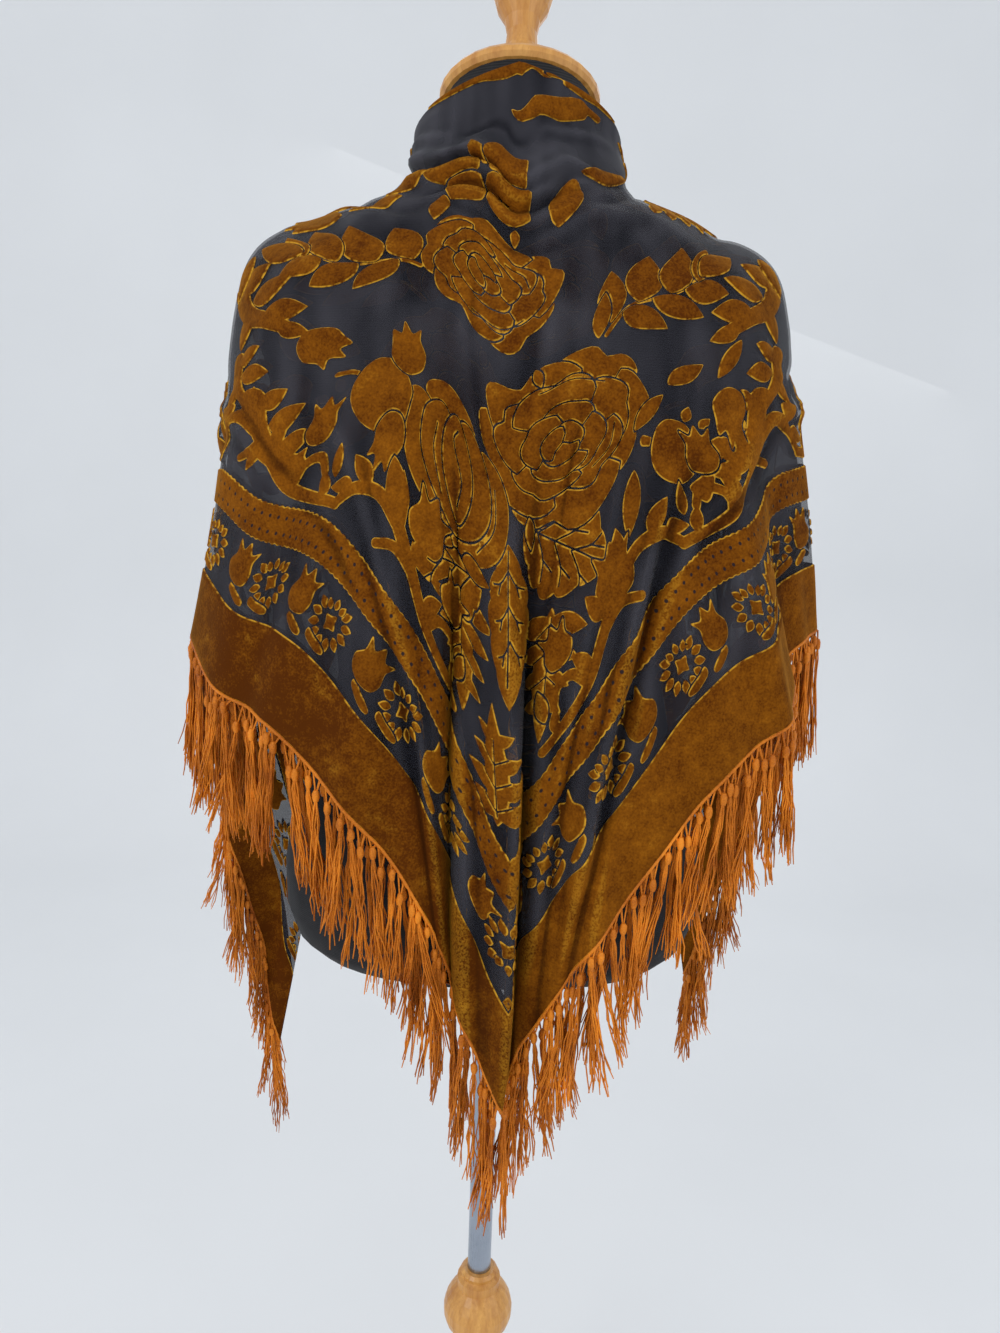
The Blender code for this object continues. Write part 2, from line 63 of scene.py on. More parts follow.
# The cloth's cut and the drape of its solids, as in the part.
ROOT_TWO = math.sqrt(2.0)
SQUARE_SIDE = 1.22
HALF_DIAGONAL = SQUARE_SIDE / ROOT_TWO
SLACK_DEPTH = 0.42
END_SHIFT = 0.050
CORNER_SHIFT = 0.008
CORNER_SHIFT_REACH = 24.0
CORNER_SKEW = 0.018
CORNER_SKEW_AT = 12.0
CORNER_SKEW_REACH = 11.0
RAISED_SIDE = 0.020
RAISED_AT = 46.0
RAISED_REACH = 10.0
NAPE_HEIGHT = 1.462
COLLAR_RADIUS = 0.0675
COLLAR_FLARE = 0.016
SIDE_SEAM = 46.0
GUIDE_COLUMNS = ("direction", "take_up", "neck_angle", "neck_z", "slope_x", "slope_y", "slope_z",
                 "brow_x", "brow_y", "brow_z", "fall_x", "fall_y", "fall_z")
GUIDES = (
    (0, 0.110, 0, 1.392, 0.000, -0.108, 1.322, 0.000, -0.138, 1.235, 0.000, -0.150, 0.722),
    (10, 0.144, 12, 1.392, 0.032, -0.107, 1.325, 0.045, -0.138, 1.240, 0.070, -0.152, 0.880),
    (20, 0.156, 26, 1.392, 0.066, -0.103, 1.332, 0.090, -0.133, 1.252, 0.155, -0.138, 0.985),
    (30, 0.120, 41, 1.391, 0.098, -0.094, 1.342, 0.137, -0.120, 1.270, 0.214, -0.096, 1.020),
    (38, 0.097, 54, 1.391, 0.122, -0.076, 1.351, 0.172, -0.097, 1.289, 0.246, -0.030, 1.050),
    (53, 0.036, 90, 1.396, 0.138, -0.005, 1.374, 0.207, -0.006, 1.325, 0.250, 0.052, 1.035),
    (66, -0.004, 110, 1.404, 0.122, 0.062, 1.370, 0.180, 0.098, 1.292, 0.250, 0.112, 0.965),
    (78, -0.056, 114, 1.412, 0.095, 0.080, 1.374, 0.135, 0.126, 1.288, 0.254, 0.142, 0.860),
    (90, -0.145, 114, 1.424, 0.070, 0.076, 1.388, 0.086, 0.128, 1.298, 0.214, 0.146, 0.620),
)

# Hanging folds: direction, distance where the fold starts and is full, height and half width.
FOLDS = (
    (-86.0, 0.25, 0.60, 0.012, 0.030), (-79.5, 0.25, 0.60, -0.012, 0.032),
    (-72.0, 0.25, 0.60, 0.013, 0.032), (-64.5, 0.28, 0.60, -0.012, 0.030),
    (-56.0, 0.28, 0.60, 0.012, 0.028), (-47.0, 0.30, 0.58, -0.009, 0.026),
    (-37.0, 0.30, 0.58, 0.003, 0.026), (-26.0, 0.34, 0.60, -0.008, 0.026),
    (-14.5, 0.30, 0.60, 0.012, 0.026), (-5.8, 0.36, 0.62, -0.015, 0.022),
    (0.3, 0.34, 0.60, 0.013, 0.019), (3.6, 0.34, 0.56, -0.021, 0.017),
    (9.6, 0.40, 0.62, 0.012, 0.022), (17.5, 0.42, 0.62, -0.006, 0.026),
    (27.5, 0.34, 0.58, 0.012, 0.024), (35.0, 0.36, 0.58, -0.014, 0.022),
    (43.0, 0.32, 0.58, 0.012, 0.026), (51.5, 0.33, 0.60, -0.011, 0.028),
    (60.0, 0.28, 0.60, 0.012, 0.030), (68.0, 0.28, 0.60, -0.012, 0.032),
    (76.0, 0.25, 0.60, 0.013, 0.032), (83.5, 0.25, 0.60, -0.011, 0.032),
)
# Rolls of the crumpled collar: distance, direction, reach, height and half width.
ROLLS = (
    (0.072, 18.0, 34.0, -0.003, 0.018), (0.108, -22.0, 40.0, 0.006, 0.019),
    (0.150, -8.0, 26.0, -0.004, 0.020), (0.130, 62.0, 26.0, 0.003, 0.020),
    (0.070, -70.0, 24.0, 0.003, 0.022),
)
# How a crease bows from side to side along its length: how far, how often, and how the bow's
# start shifts from one crease to the next.
CREASE_BOW = 0.35
CREASE_WAVE = 2.2
CREASE_STAGGER = 40.0
# Finer creases: middle (u, v), turn of the crease from straight down, half length, half width
# and height.  A trough has a negative height.
CREASES = (
    (-0.062, 0.088, 62, 0.045, 0.0060, 0.0045), (-0.050, 0.108, 74, 0.060, 0.0055, -0.0050),
    (-0.034, 0.122, 80, 0.062, 0.0060, 0.0055), (-0.012, 0.138, 92, 0.060, 0.0050, -0.0060),
    (0.000, 0.152, 86, 0.055, 0.0060, 0.0040), (-0.085, 0.112, 55, 0.040, 0.0070, 0.0035),
    (0.030, 0.108, 100, 0.036, 0.0055, 0.0035), (0.052, 0.122, 112, 0.040, 0.0060, -0.0040),
    (0.072, 0.112, 122, 0.044, 0.0060, 0.0040), (0.094, 0.126, 128, 0.046, 0.0070, -0.0035),
    (-0.118, 0.142, 50, 0.050, 0.0080, -0.0040), (-0.020, 0.068, 84, 0.040, 0.0050, -0.0025),
    (0.044, 0.062, 104, 0.034, 0.0050, 0.0025), (-0.074, 0.052, 60, 0.034, 0.0055, 0.0030),
    (-0.020, 0.176, 78, 0.060, 0.0080, -0.0035), (0.058, 0.170, 104, 0.050, 0.0085, 0.0030),
    (-0.028, 0.330, 4, 0.090, 0.0060, -0.0022), (0.022, 0.350, -6, 0.100, 0.0065, 0.0025),
    (0.048, 0.470, -9, 0.120, 0.0060, -0.0035), (-0.070, 0.520, 9, 0.110, 0.0070, 0.0030),
    (-0.045, 0.560, 6, 0.130, 0.0055, -0.0040), (0.083, 0.560, -10, 0.120, 0.0065, 0.0035),
    (-0.118, 0.560, 13, 0.120, 0.0080, -0.0030), (-0.150, 0.480, 18, 0.110, 0.0070, 0.0030),
    (-0.205, 0.440, 26, 0.120, 0.0080, -0.0035), (-0.245, 0.380, 34, 0.110, 0.0075, 0.0032),
    (0.150, 0.520, -16, 0.120, 0.0080, -0.0030), (0.195, 0.440, -24, 0.130, 0.0075, 0.0036),
    (0.232, 0.400, -31, 0.120, 0.0070, -0.0034), (0.262, 0.350, -38, 0.110, 0.0070, 0.0030),
    (0.012, 0.640, -2, 0.100, 0.0045, 0.0035), (0.030, 0.690, -4, 0.090, 0.0050, -0.0035),
    (-0.300, 0.330, 44, 0.110, 0.0080, -0.0030), (0.300, 0.300, -46, 0.110, 0.0080, 0.0030),
    (-0.360, 0.250, 56, 0.120, 0.0085, 0.0035), (0.350, 0.230, -58, 0.120, 0.0085, -0.0035),
    (-0.420, 0.190, 66, 0.130, 0.0080, -0.0030), (0.420, 0.170, -68, 0.130, 0.0080, 0.0035),
    (-0.470, 0.110, 77, 0.140, 0.0080, 0.0036), (0.480, 0.095, -79, 0.140, 0.0080, -0.0034),
    (-0.520, 0.050, 85, 0.150, 0.0075, -0.0030), (0.540, 0.040, -86, 0.150, 0.0075, 0.0032),
    (0.003, 0.700, -4, 0.190, 0.0075, 0.0080), (0.021, 0.690, -2, 0.190, 0.0118, -0.0230),
    (0.047, 0.700, 2, 0.180, 0.0130, 0.0150), (-0.044, 0.690, 0, 0.170, 0.0080, 0.0060),
    (-0.061, 0.690, 2, 0.170, 0.0100, -0.0190), (0.078, 0.640, -6, 0.150, 0.0080, -0.0050),
    (0.120, 0.600, -12, 0.150, 0.0075, 0.0095), (0.134, 0.600, -13, 0.140, 0.0085, -0.0095),
    (-0.104, 0.640, 10, 0.160, 0.0075, 0.0060), (-0.120, 0.640, 11, 0.150, 0.0080, -0.0055),
    (-0.250, 0.120, 64, 0.070, 0.0090, 0.0028), (0.240, 0.130, -62, 0.080, 0.0090, -0.0028),
    (-0.180, 0.085, 66, 0.060, 0.0080, -0.0030), (0.170, 0.080, -64, 0.060, 0.0080, 0.0030),
)

# Tucks that lean a fold's edge over: middle (u, v), turn, half length, half width and the shift
# sideways, positive towards +u.
TUCKS = (
    (0.004, 0.700, -4, 0.180, 0.0120, 0.0090), (0.040, 0.690, 1, 0.180, 0.0120, -0.0060),
    (-0.050, 0.700, 1, 0.160, 0.0120, -0.0100), (-0.030, 0.118, 78, 0.060, 0.0090, 0.0060),
)

# How the surface is worked out: a grid of directions and distances, and where it is read.
GRID_DIRECTIONS = 721
GRID_DISTANCES = 296
GRID_REACH = 0.885
CREST_REACH = 0.009
CREST_HEIGHT = 0.0018

# The gap between the two layers, what the hanging part adds to it and where that starts, its
# unevenness, and the depth within which the fold closes it.
LAYER_GAP = 0.0015
HANGING_GAP = 0.0050
HANGS_FROM = 0.36
HANGS_WITHIN = 0.16
UNEVEN_GAP = 0.45
FOLD_CLOSES = 0.020

# How far the velvet and the hem stand off the ground at least, and the inner layer's share of
# the pile's height.
GROUND_GAP = 0.0002
INNER_PILE = 0.5

# Widths across the border, measured in from the hem.
HEM_START = 0.0008
HEM_BAND = 0.0605
DOTTED_LOW = 0.1165
DOTTED_HIGH = 0.1420
SCALLOP = 0.0011
SCALLOP_PITCH = 0.0062
DOT_PITCH = 0.0092
DOT_RADIUS = 0.0013
FRINGE_INSET = 0.006

# How the velvet is drawn, in millimetres: the grid's grain, the open line between petals, one
# repeat of the border and where its row and garland start, the open ground kept beside the two
# bands, how closely outlines are kept, the fewest points of an outline, the value far out on the
# ground, the ground drawn round a stroke, the share of a step between rows of points inside a
# motif, and half the cloth's diagonal.
GRAIN = 0.8
VEIN_GAP = 1.3
BORDER_PERIOD = 87.0
ROW_START = 177.0
GARLAND_START = 236.0
GARLAND_DEPTH = 145.0
BAND_GAP = 2.0
ROW_GAP = 1.5
LINE_SLACK = 0.13
LONGEST_EDGE = 6.0
SHORTEST_LOOP = 10
OPEN_GROUND = 9.0
STROKE_MARGIN = 3.0
ROW_SPACING = 0.87
REACH = 1000 * HALF_DIAGONAL


def smooth_step(value):
    """A smooth rise from 0 to 1 while the value does."""
    value = np.clip(value, 0.0, 1.0)
    return value * value * (3.0 - 2.0 * value)


def unit(vectors):
    """Vectors at a length of one."""
    return vectors / np.maximum(np.linalg.norm(vectors, axis=-1, keepdims=True), 1e-12)


def through_rows(positions, rows, where):
    """A smooth curve through the rows of a table, read at several places."""
    where = np.atleast_1d(where)
    index = np.clip(np.searchsorted(positions, where) - 1, 0, len(positions) - 2)
    before = np.maximum(index - 1, 0)
    after = np.minimum(index + 2, len(positions) - 1)
    span = (positions[index + 1] - positions[index])[:, None]
    slope_low = (rows[index + 1] - rows[before]) / (positions[index + 1] - positions[before])[:, None]
    slope_high = (rows[after] - rows[index]) / (positions[after] - positions[index])[:, None]
    t = (where - positions[index])[:, None] / span
    return ((2 * t**3 - 3 * t**2 + 1) * rows[index] + (t**3 - 2 * t**2 + t) * span * slope_low
            + (3 * t**2 - 2 * t**3) * rows[index + 1] + (t**3 - t**2) * span * slope_high)


def both_sides(table):
    """The guide table with its mirrored rows, its left end let down, its corner skewed and its
    right side taken up.
    """
    rows = np.array(table, dtype=float)
    mirrored = rows[:0:-1].copy()
    for column, title in enumerate(GUIDE_COLUMNS):
        if title in ("direction", "neck_angle") or title.endswith("_x"):
            mirrored[:, column] *= -1.0
    full = np.vstack([mirrored, rows])
    share = full[:, 0] / 90.0
    off_skew = (np.abs(full[:, 0]) - CORNER_SKEW_AT) / CORNER_SKEW_REACH
    beside = np.sign(share) * np.exp(-off_skew ** 2)
    take_up = GUIDE_COLUMNS.index("take_up")
    full[:, take_up] += END_SHIFT * np.sign(share) * np.abs(share) ** 4 - CORNER_SKEW * beside
    full[:, take_up] += RAISED_SIDE * np.exp(-(((full[:, 0] - RAISED_AT) / RAISED_REACH) ** 2))
    near_corner = np.exp(-((full[:, 0] / CORNER_SHIFT_REACH) ** 2))
    full[:, GUIDE_COLUMNS.index("fall_x")] += CORNER_SHIFT * near_corner
    return full


GUIDE_ROWS = both_sides(GUIDES)


def guide_column(direction, distances, samples=180):
    """Points of the unfolded cloth along one direction."""
    row = dict(zip(GUIDE_COLUMNS, through_rows(GUIDE_ROWS[:, 0], GUIDE_ROWS, direction)[0]))
    knots = []
    for share in np.linspace(0.0, 1.0, 7):
        angle = math.radians(row["neck_angle"]) * share
        radius = COLLAR_RADIUS + COLLAR_FLARE * share**2
        height = NAPE_HEIGHT + (row["neck_z"] - NAPE_HEIGHT) * share
        knots.append((radius * math.sin(angle), -radius * math.cos(angle), height))
    for station in ("slope", "brow", "fall"):
        knots.append(tuple(row[station + axis] for axis in ("_x", "_y", "_z")))
    knots = np.array(knots)
    steps = np.sqrt(np.linalg.norm(np.diff(knots, axis=0), axis=1))
    places = np.concatenate([[0.0], np.cumsum(steps)])
    curve = through_rows(places, knots, np.linspace(0.0, places[-1], samples))
    run = np.concatenate([[0.0], np.cumsum(np.linalg.norm(np.diff(curve, axis=0), axis=1))])
    near = distances * (SLACK_DEPTH - row["take_up"]) / SLACK_DEPTH
    lengths = np.where(distances < SLACK_DEPTH, near, distances - row["take_up"])
    points = np.stack([np.interp(lengths, run, curve[:, axis]) for axis in range(3)], axis=1)
    beyond = np.maximum(lengths - run[-1], 0.0)
    return points + beyond[:, None] * unit(curve[-1] - curve[-2])


def ways_out(points, columns, rows):
    """Unit vectors out of the cloth at every place of a grid of points."""
    column = np.arange(points.shape[0])
    row = np.arange(points.shape[1])
    aside = (points[np.minimum(column + columns, column[-1])]
             - points[np.maximum(column - columns, 0)])
    ahead = points[:, np.minimum(row + rows, row[-1])] - points[:, np.maximum(row - rows, 0)]
    out = -unit(np.cross(aside, ahead))
    out[:, 0] = unit(out[:, 1].mean(axis=0))
    return out


def read_between(grid, column, row):
    """A grid's values at places between its columns and rows."""
    i = np.clip(column.astype(int), 0, grid.shape[0] - 2)
    j = np.clip(row.astype(int), 0, grid.shape[1] - 2)
    a, b = column - i, row - j
    if grid.ndim == 3:
        a, b = a[:, None], b[:, None]
    return ((1 - a) * (1 - b) * grid[i, j] + a * (1 - b) * grid[i + 1, j]
            + (1 - a) * b * grid[i, j + 1] + a * b * grid[i + 1, j + 1])


def crease_height(u, v, creases=CREASES):
    height = np.zeros_like(u)
    for middle_u, middle_v, turn, length, width, rise in creases:
        sine = math.sin(math.radians(turn))
        cosine = math.cos(math.radians(turn))
        along = ((u - middle_u) * sine + (v - middle_v) * cosine) / length
        across = ((u - middle_u) * cosine - (v - middle_v) * sine) / width
        bend = CREASE_BOW * np.sin(CREASE_WAVE * along + CREASE_STAGGER * middle_u)
        height += rise * np.exp(-((across - bend) ** 2)) * np.exp(-(along**4))
    return height


class DrapedCloth:
    """The draped surface, worked out once on a grid of directions and distances."""

    def __init__(self):
        self.directions = np.linspace(-90.0, 90.0, GRID_DIRECTIONS)
        self.distances = np.linspace(0.0, GRID_REACH, GRID_DISTANCES)
        base = np.stack([guide_column(d, self.distances) for d in self.directions])
        direction, distance = np.meshgrid(self.directions, self.distances, indexing="ij")
        height = np.zeros_like(direction)
        for middle, start, full, rise, width in FOLDS:
            across = np.radians(direction - middle) * distance / width
            height += rise * smooth_step((distance - start) / (full - start)) * np.exp(-(across**2))
        for middle, towards, reach, rise, width in ROLLS:
            along = (direction - towards) / reach
            height += rise * np.exp(-(along**2)) * np.exp(-(((distance - middle) / width) ** 2))
        angle = np.radians(direction)
        u, v = distance * np.sin(angle), distance * np.cos(angle)
        height += crease_height(u, v)
        outs = ways_out(base, 5, 3)
        asides = unit(np.gradient(base, axis=0) + 1e-9)
        asides[:, 0] = asides[:, 1]
        self.points = base + outs * height[..., None] + asides * crease_height(u, v, TUCKS)[..., None]
        self.outs = ways_out(self.points, 1, 1)
        self.crest = self.worked_crest()

    def worked_crest(self):
        """How far each place stands out of its surroundings, from about -1 to 1."""
        crest = np.zeros(self.points.shape[:2])
        step = math.radians(self.directions[1] - self.directions[0])
        rows = int(round(CREST_REACH / self.distances[1]))
        last_column, last_row = crest.shape[0] - 1, crest.shape[1] - 1
        column = np.arange(last_column + 1)
        for row in range(last_row + 1):
            columns = round(CREST_REACH / max(self.distances[row] * step, 1e-6))
            columns = int(np.clip(columns, 1, 60))
            around = (self.points[np.minimum(column + columns, last_column), row]
                      + self.points[np.maximum(column - columns, 0), row]
                      + self.points[:, min(row + rows, last_row)]
                      + self.points[:, max(row - rows, 0)]) / 4
            crest[:, row] = np.sum((self.points[:, row] - around) * self.outs[:, row], axis=1)
        return np.clip(crest / CREST_HEIGHT, -1.0, 1.0)

    def read(self, grid, flat):
        direction = np.degrees(np.arctan2(flat[:, 0], flat[:, 1]))
        distance = np.hypot(flat[:, 0], flat[:, 1])
        return read_between(grid, (direction + 90.0) / 180.0 * (GRID_DIRECTIONS - 1),
                            distance / GRID_REACH * (GRID_DISTANCES - 1))

    def place(self, flat, lift=0.0, inner=False):
        """Points in space for flat places, lifted off the cloth's face by lift."""
        flat = np.asarray(flat, dtype=float)
        points = self.read(self.points, flat)
        outs = unit(self.read(self.outs, flat))
        lift = np.broadcast_to(np.asarray(lift, dtype=float), (len(flat),))
        if inner:
            lift = -inner_depth(flat) - lift
        return points + outs * lift[:, None]


def inner_depth(flat):
    """How far the inner layer lies under the outer one: none along the folded edge."""
    u, v = flat[:, 0], flat[:, 1]
    free = HANGING_GAP * smooth_step((np.hypot(u, v) - HANGS_FROM) / HANGS_WITHIN)
    uneven = 1.0 + UNEVEN_GAP * np.sin(31.0 * u + 1.3) * np.sin(23.0 * v + 17.0 * u)
    return (LAYER_GAP + free * uneven) * smooth_step(v / FOLD_CLOSES)


@functools.lru_cache(maxsize=1)
def draped_cloth():
    return DrapedCloth()


# The velvet motifs.  Each is drawn in millimetres as strokes on a fine grid, with +y along its
# axis from its foot.  A shape is laid over the earlier ones with a line of open ground round it,
# as petals overlap.  A stem joins what it meets, and a cut leaves a line of ground, as a vein does.

Stroke = collections.namedtuple("Stroke", "kind points width")


def through_points(points, closed=True, per_span=6):
    """A smooth line through a few given points."""
    points = np.array(points, dtype=float)
    if closed:
        points = np.vstack([points[-1:], points, points[:2]])
    else:
        points = np.vstack([2 * points[0] - points[1], points, 2 * points[-1] - points[-2]])
    result = []
    for p0, p1, p2, p3 in zip(points, points[1:], points[2:], points[3:]):
        for t in np.linspace(0.0, 1.0, per_span, endpoint=False):
            result.append(0.5 * (2 * p1 + (p2 - p0) * t + (2 * p0 - 5 * p1 + 4 * p2 - p3) * t**2
                                 + (3 * p1 - p0 - 3 * p2 + p3) * t**3))
    if not closed:
        result.append(points[-2])
    return np.array(result)


def lay(points, gap=VEIN_GAP):
    """A shape laid over the earlier ones, from its outline."""
    return Stroke("lay", np.asarray(points, dtype=float), gap)


def blot(points, gap=VEIN_GAP):
    """A shape with a smooth outline through a few points."""
    return lay(through_points(points), gap)


def cut(points, width=VEIN_GAP):
    """A line of open ground."""
    return Stroke("cut", through_points(points, closed=False), width / 2)


def stem(points, thick, thin):
    """A stem that tapers along its line."""
    line = through_points(points, closed=False)
    share = np.linspace(0.0, 1.0, len(line))
    return Stroke("stem", line, (thick + (thin - thick) * share) / 2)


def turned(strokes, x=0.0, y=0.0, turn=0.0, size=1.0, mirrored=False):
    """Strokes moved to (x, y), with their axis turned from +y towards +x by turn degrees."""
    angle = math.radians(turn)
    rotation = np.array(((math.cos(angle), -math.sin(angle)), (math.sin(angle), math.cos(angle))))
    flip = np.array((-size if mirrored else size, size))
    return [Stroke(stroke.kind, (stroke.points * flip) @ rotation + (x, y),
                   stroke.width * (size if stroke.kind == "stem" else 1.0)) for stroke in strokes]


def leaf_edge(length, width, lobes=0, depth=0.0, bend=0.0):
    """The outline of a leaf that is fullest below its middle, with lobes along its edge."""
    t = np.linspace(0.0, 1.0, 30 + 14 * lobes)
    half = width / 2 * np.sin(np.pi * t**0.85) ** 0.9
    if lobes:
        half = half * (1.0 - depth + depth * np.abs(np.sin(np.pi * lobes * t + 0.3)) ** 0.6)
    spine = bend * length * t**2
    right = np.stack([spine + half, t * length], axis=1)
    left = np.stack([spine - half, t * length], axis=1)[::-1]
    return np.vstack([right, left[1:-1]])


def leaf(length=42, width=17, bend=0.0, gap=VEIN_GAP):
    """A plain leaf, or a lobe that grows out of its neighbours where gap is 0."""
    return [lay(leaf_edge(length, width, bend=bend), gap)]


def vine_leaf(length=100, width=76, veins=3):
    """A broad lobed leaf with its midrib and branching side veins left open."""
    rib = [(0, 0.04 * length), (0.01 * length, 0.5 * length), (0.04 * length, 0.86 * length)]
    strokes = [lay(leaf_edge(length, width, 5, 0.16, 0.04)), cut(rib)]
    for number in range(veins):
        y = length * (0.16 + 0.21 * number)
        for side in (-1, 1):
            reach = side * width * (0.36 - 0.05 * number)
            strokes.append(cut([(0.0, y), (0.5 * reach, y + 0.22 * width), (reach, y + 0.30 * width)]))
            strokes.append(cut([(0.5 * reach, y + 0.21 * width), (0.66 * reach, y + 0.40 * width)]))
    return strokes


def long_leaf():
    return turned(vine_leaf(112, 44, 3), mirrored=True)


def petal(turn, reach, breadth, notch=0.05, y=0.0):
    """One petal from a rose's heart outwards, with a wavy lip and bowed sides."""
    share = np.linspace(-1.0, 1.0, 21)
    angle = np.radians(turn + share * breadth / 2)
    lip = 1.0 - 0.20 * np.abs(share) ** 3 - notch * np.exp(-((share - 0.1) / 0.16) ** 2)
    lip += 0.022 * np.sin(7.0 * share + turn)
    outer = np.stack([np.sin(angle), np.cos(angle)], axis=1) * (reach * lip)[:, None]
    sides = []
    for side, bow in ((1, 14), (-1, 14)):
        bowed = math.radians(turn + side * breadth / 2 + bow)
        sides.append((0.45 * reach * math.sin(bowed), 0.45 * reach * math.cos(bowed)))
    return lay(np.vstack([outer, sides[:1], [(0.0, 0.0)], sides[1:]]) + (0.0, y))


def rose():
    """A full rose: whorls of overlapping petals that tighten round a heart set above its middle."""
    whorls = ((54, 5, 8, 100, 0.10, 0), (39, 5, 44, 98, 0.06, -3), (25, 4, -6, 116, 0.03, -5),
              (13, 3, 34, 150, 0.0, -6))
    strokes = []
    for reach, count, first, breadth, notch, y in whorls:
        for number in range(count):
            turn = first + 360.0 * number / count + 9.0 * math.sin(2.3 * number + reach)
            own = reach * (1.0 + 0.06 * math.sin(1.9 * number + reach))
            strokes.append(petal(turn, own, breadth, notch, y))
    strokes.append(cut([(-26, 24), (-8, 33), (12, 31)], 1.0))
    strokes.append(cut([(30, 6), (33, -8), (27, -20)], 1.0))
    return [stroke._replace(points=stroke.points * (1.16, 0.94)) for stroke in strokes]


def rosebud():
    """A half-open bud, petals wrapped from both sides round a pointed heart."""
    strokes = [
        blot([(-10, 44), (-20, 74), (-18, 96), (-4, 106), (12, 104), (26, 92), (24, 66), (8, 44)]),
        blot([(0, -2), (-22, 2), (-44, 24), (-50, 52), (-42, 80), (-28, 88), (-17, 70), (-14, 30)]),
        blot([(0, -2), (20, 0), (42, 22), (50, 50), (46, 78), (32, 86), (20, 70), (14, 30)]),
        blot([(2, 6), (-18, 16), (-33, 42), (-30, 72), (-16, 92), (-4, 80), (-6, 48)]),
        blot([(0, 4), (18, 14), (33, 42), (28, 70), (12, 84), (2, 70), (6, 36)]),
        blot([(0, 12), (-13, 34), (-15, 58), (-3, 86), (11, 62), (13, 36)]),
        cut([(0, 22), (-5, 42), (2, 60), (-3, 74)]), cut([(-20, 10), (-37, 38), (-37, 66)], 1.0),
        cut([(16, 20), (22, 44), (18, 62)], 1.0),
    ]
    strokes = [stroke._replace(points=stroke.points * (1.12, 1.0)) for stroke in strokes]
    for side in (-1, 1):
        strokes += turned(leaf(30, 14, 0.2), 6 * side, -6, 74 * side, 1.0, side < 0)
    return strokes


def spray():
    """A stem with plump leaflets on both sides and one at its tip."""
    strokes = [stem([(0, 0), (5, 28), (3, 58), (9, 92)], 5.0, 3.4)]
    for y, length, side in ((8, 54, 1), (20, 42, -1), (36, 58, 1), (48, 42, -1), (63, 54, 1),
                            (75, 38, -1), (88, 40, 1)):
        width = (0.50 if side > 0 else 0.62) * length
        strokes += turned(leaf(length, width, gap=0.9), 5, y, side * (60 - 0.20 * y))
    return strokes + turned(leaf(42, 27, gap=0.9), 9, 92, 8)


def globe_bud():
    """A round bud on a short neck, with cupped sepals over it."""
    strokes = [
        stem([(0, -8), (0, 4)], 7, 5),
        blot([(0, 0), (-15, 4), (-22, 18), (-18, 34), (-4, 42), (12, 39), (22, 26), (19, 8)]),
        blot([(-18, 40), (-22, 54), (-8, 57), (8, 55), (20, 58), (23, 44), (12, 44), (-3, 47)]),
    ]
    strokes += turned(leaf(15, 8), 26, 36, 70)
    return strokes + turned(leaf(17, 9), 24, 24, 96)


def plain_bud():
    """A large plain bud with a ragged tip on a short stalk."""
    return [
        stem([(0, -20), (2, -8), (0, 6)], 5, 4),
        blot([(0, 0), (-20, 6), (-29, 26), (-24, 48), (-10, 60), (6, 56), (20, 48), (29, 26),
              (20, 6)]),
    ]


def hop_leaf():
    """A full leaf with a ragged, three-pointed tip."""
    return [blot([(0, 0), (-13, 8), (-18, 24), (-13, 38), (-14, 50), (-5, 44), (2, 57), (6, 44),
                  (14, 48), (16, 34), (18, 18), (11, 5)])]


def tulip():
    return [blot([(0, 0), (-11, 3), (-14, 12), (-11, 21), (-14, 30), (-6, 26), (0, 33), (5, 26),
                  (13, 31), (11, 21), (15, 12), (10, 3)])]


def around(radius, angle):
    """A point on a circle, its angle turned from +y towards +x."""
    return radius * math.sin(angle), radius * math.cos(angle)


def ring_flower():
    """Small touching petals in an arch over a lobed middle, with three beneath it."""
    strokes = []
    for number in range(10):
        angle = -130 + 260 / 9 * number
        strokes += turned(leaf(11.5, 7.0, gap=0.7), *around(11.2, math.radians(angle)), angle)
    strokes.append(blot([around(7.6 if number % 2 else 4.8, math.pi / 4 * number + 0.2)
                         for number in range(8)], 0.8))
    for angle in (150, 180, 210):
        strokes += turned(leaf(9.0, 6.0, gap=0.7), *around(9.5, math.radians(angle)), angle)
    return strokes


def dash():
    return [blot([(0, 0), (-3.4, 1), (-3.8, 8), (-3, 16), (-3.5, 24), (0, 25), (3, 22), (3.6, 14),
                  (3, 6)])]


def acanthus(length=84, width=52, count=4):
    """A leaf with deep lobes that curl off its rib on both sides."""
    strokes = leaf(length, 0.42 * width, gap=0.0)
    for number in range(count):
        y = length * (0.08 + 0.19 * number)
        size = width * (0.66 - 0.09 * number)
        for side in (-1, 1):
            strokes += turned(leaf(size, 0.46 * size, 0.22, 0.0), 0, y,
                              side * (64 - 7 * number), 1.0, side < 0)
    strokes.append(cut([(0, 0.08 * length), (0, 0.7 * length)], 1.0))
    for number in range(count - 1):
        y = length * (0.12 + 0.19 * number)
        for side in (-1, 1):
            strokes.append(cut([(0, y), (side * 0.22 * width, y + 0.16 * width)], 1.0))
    return strokes


def half_acanthus():
    """A leaf with curling lobes along one side and a hooked tip."""
    strokes = [stem([(0, 0), (-5, 26), (2, 52), (14, 72)], 20, 11)]
    for y, size, turn in ((4, 30, 72), (24, 34, 58), (46, 31, 42), (62, 24, 16)):
        strokes += turned(leaf(size, 0.66 * size, 0.3, 0.0), 2 + 0.1 * y, y, turn)
    strokes += turned(leaf(28, 17, -0.4, 0.0), -6, 26, -34)
    return strokes


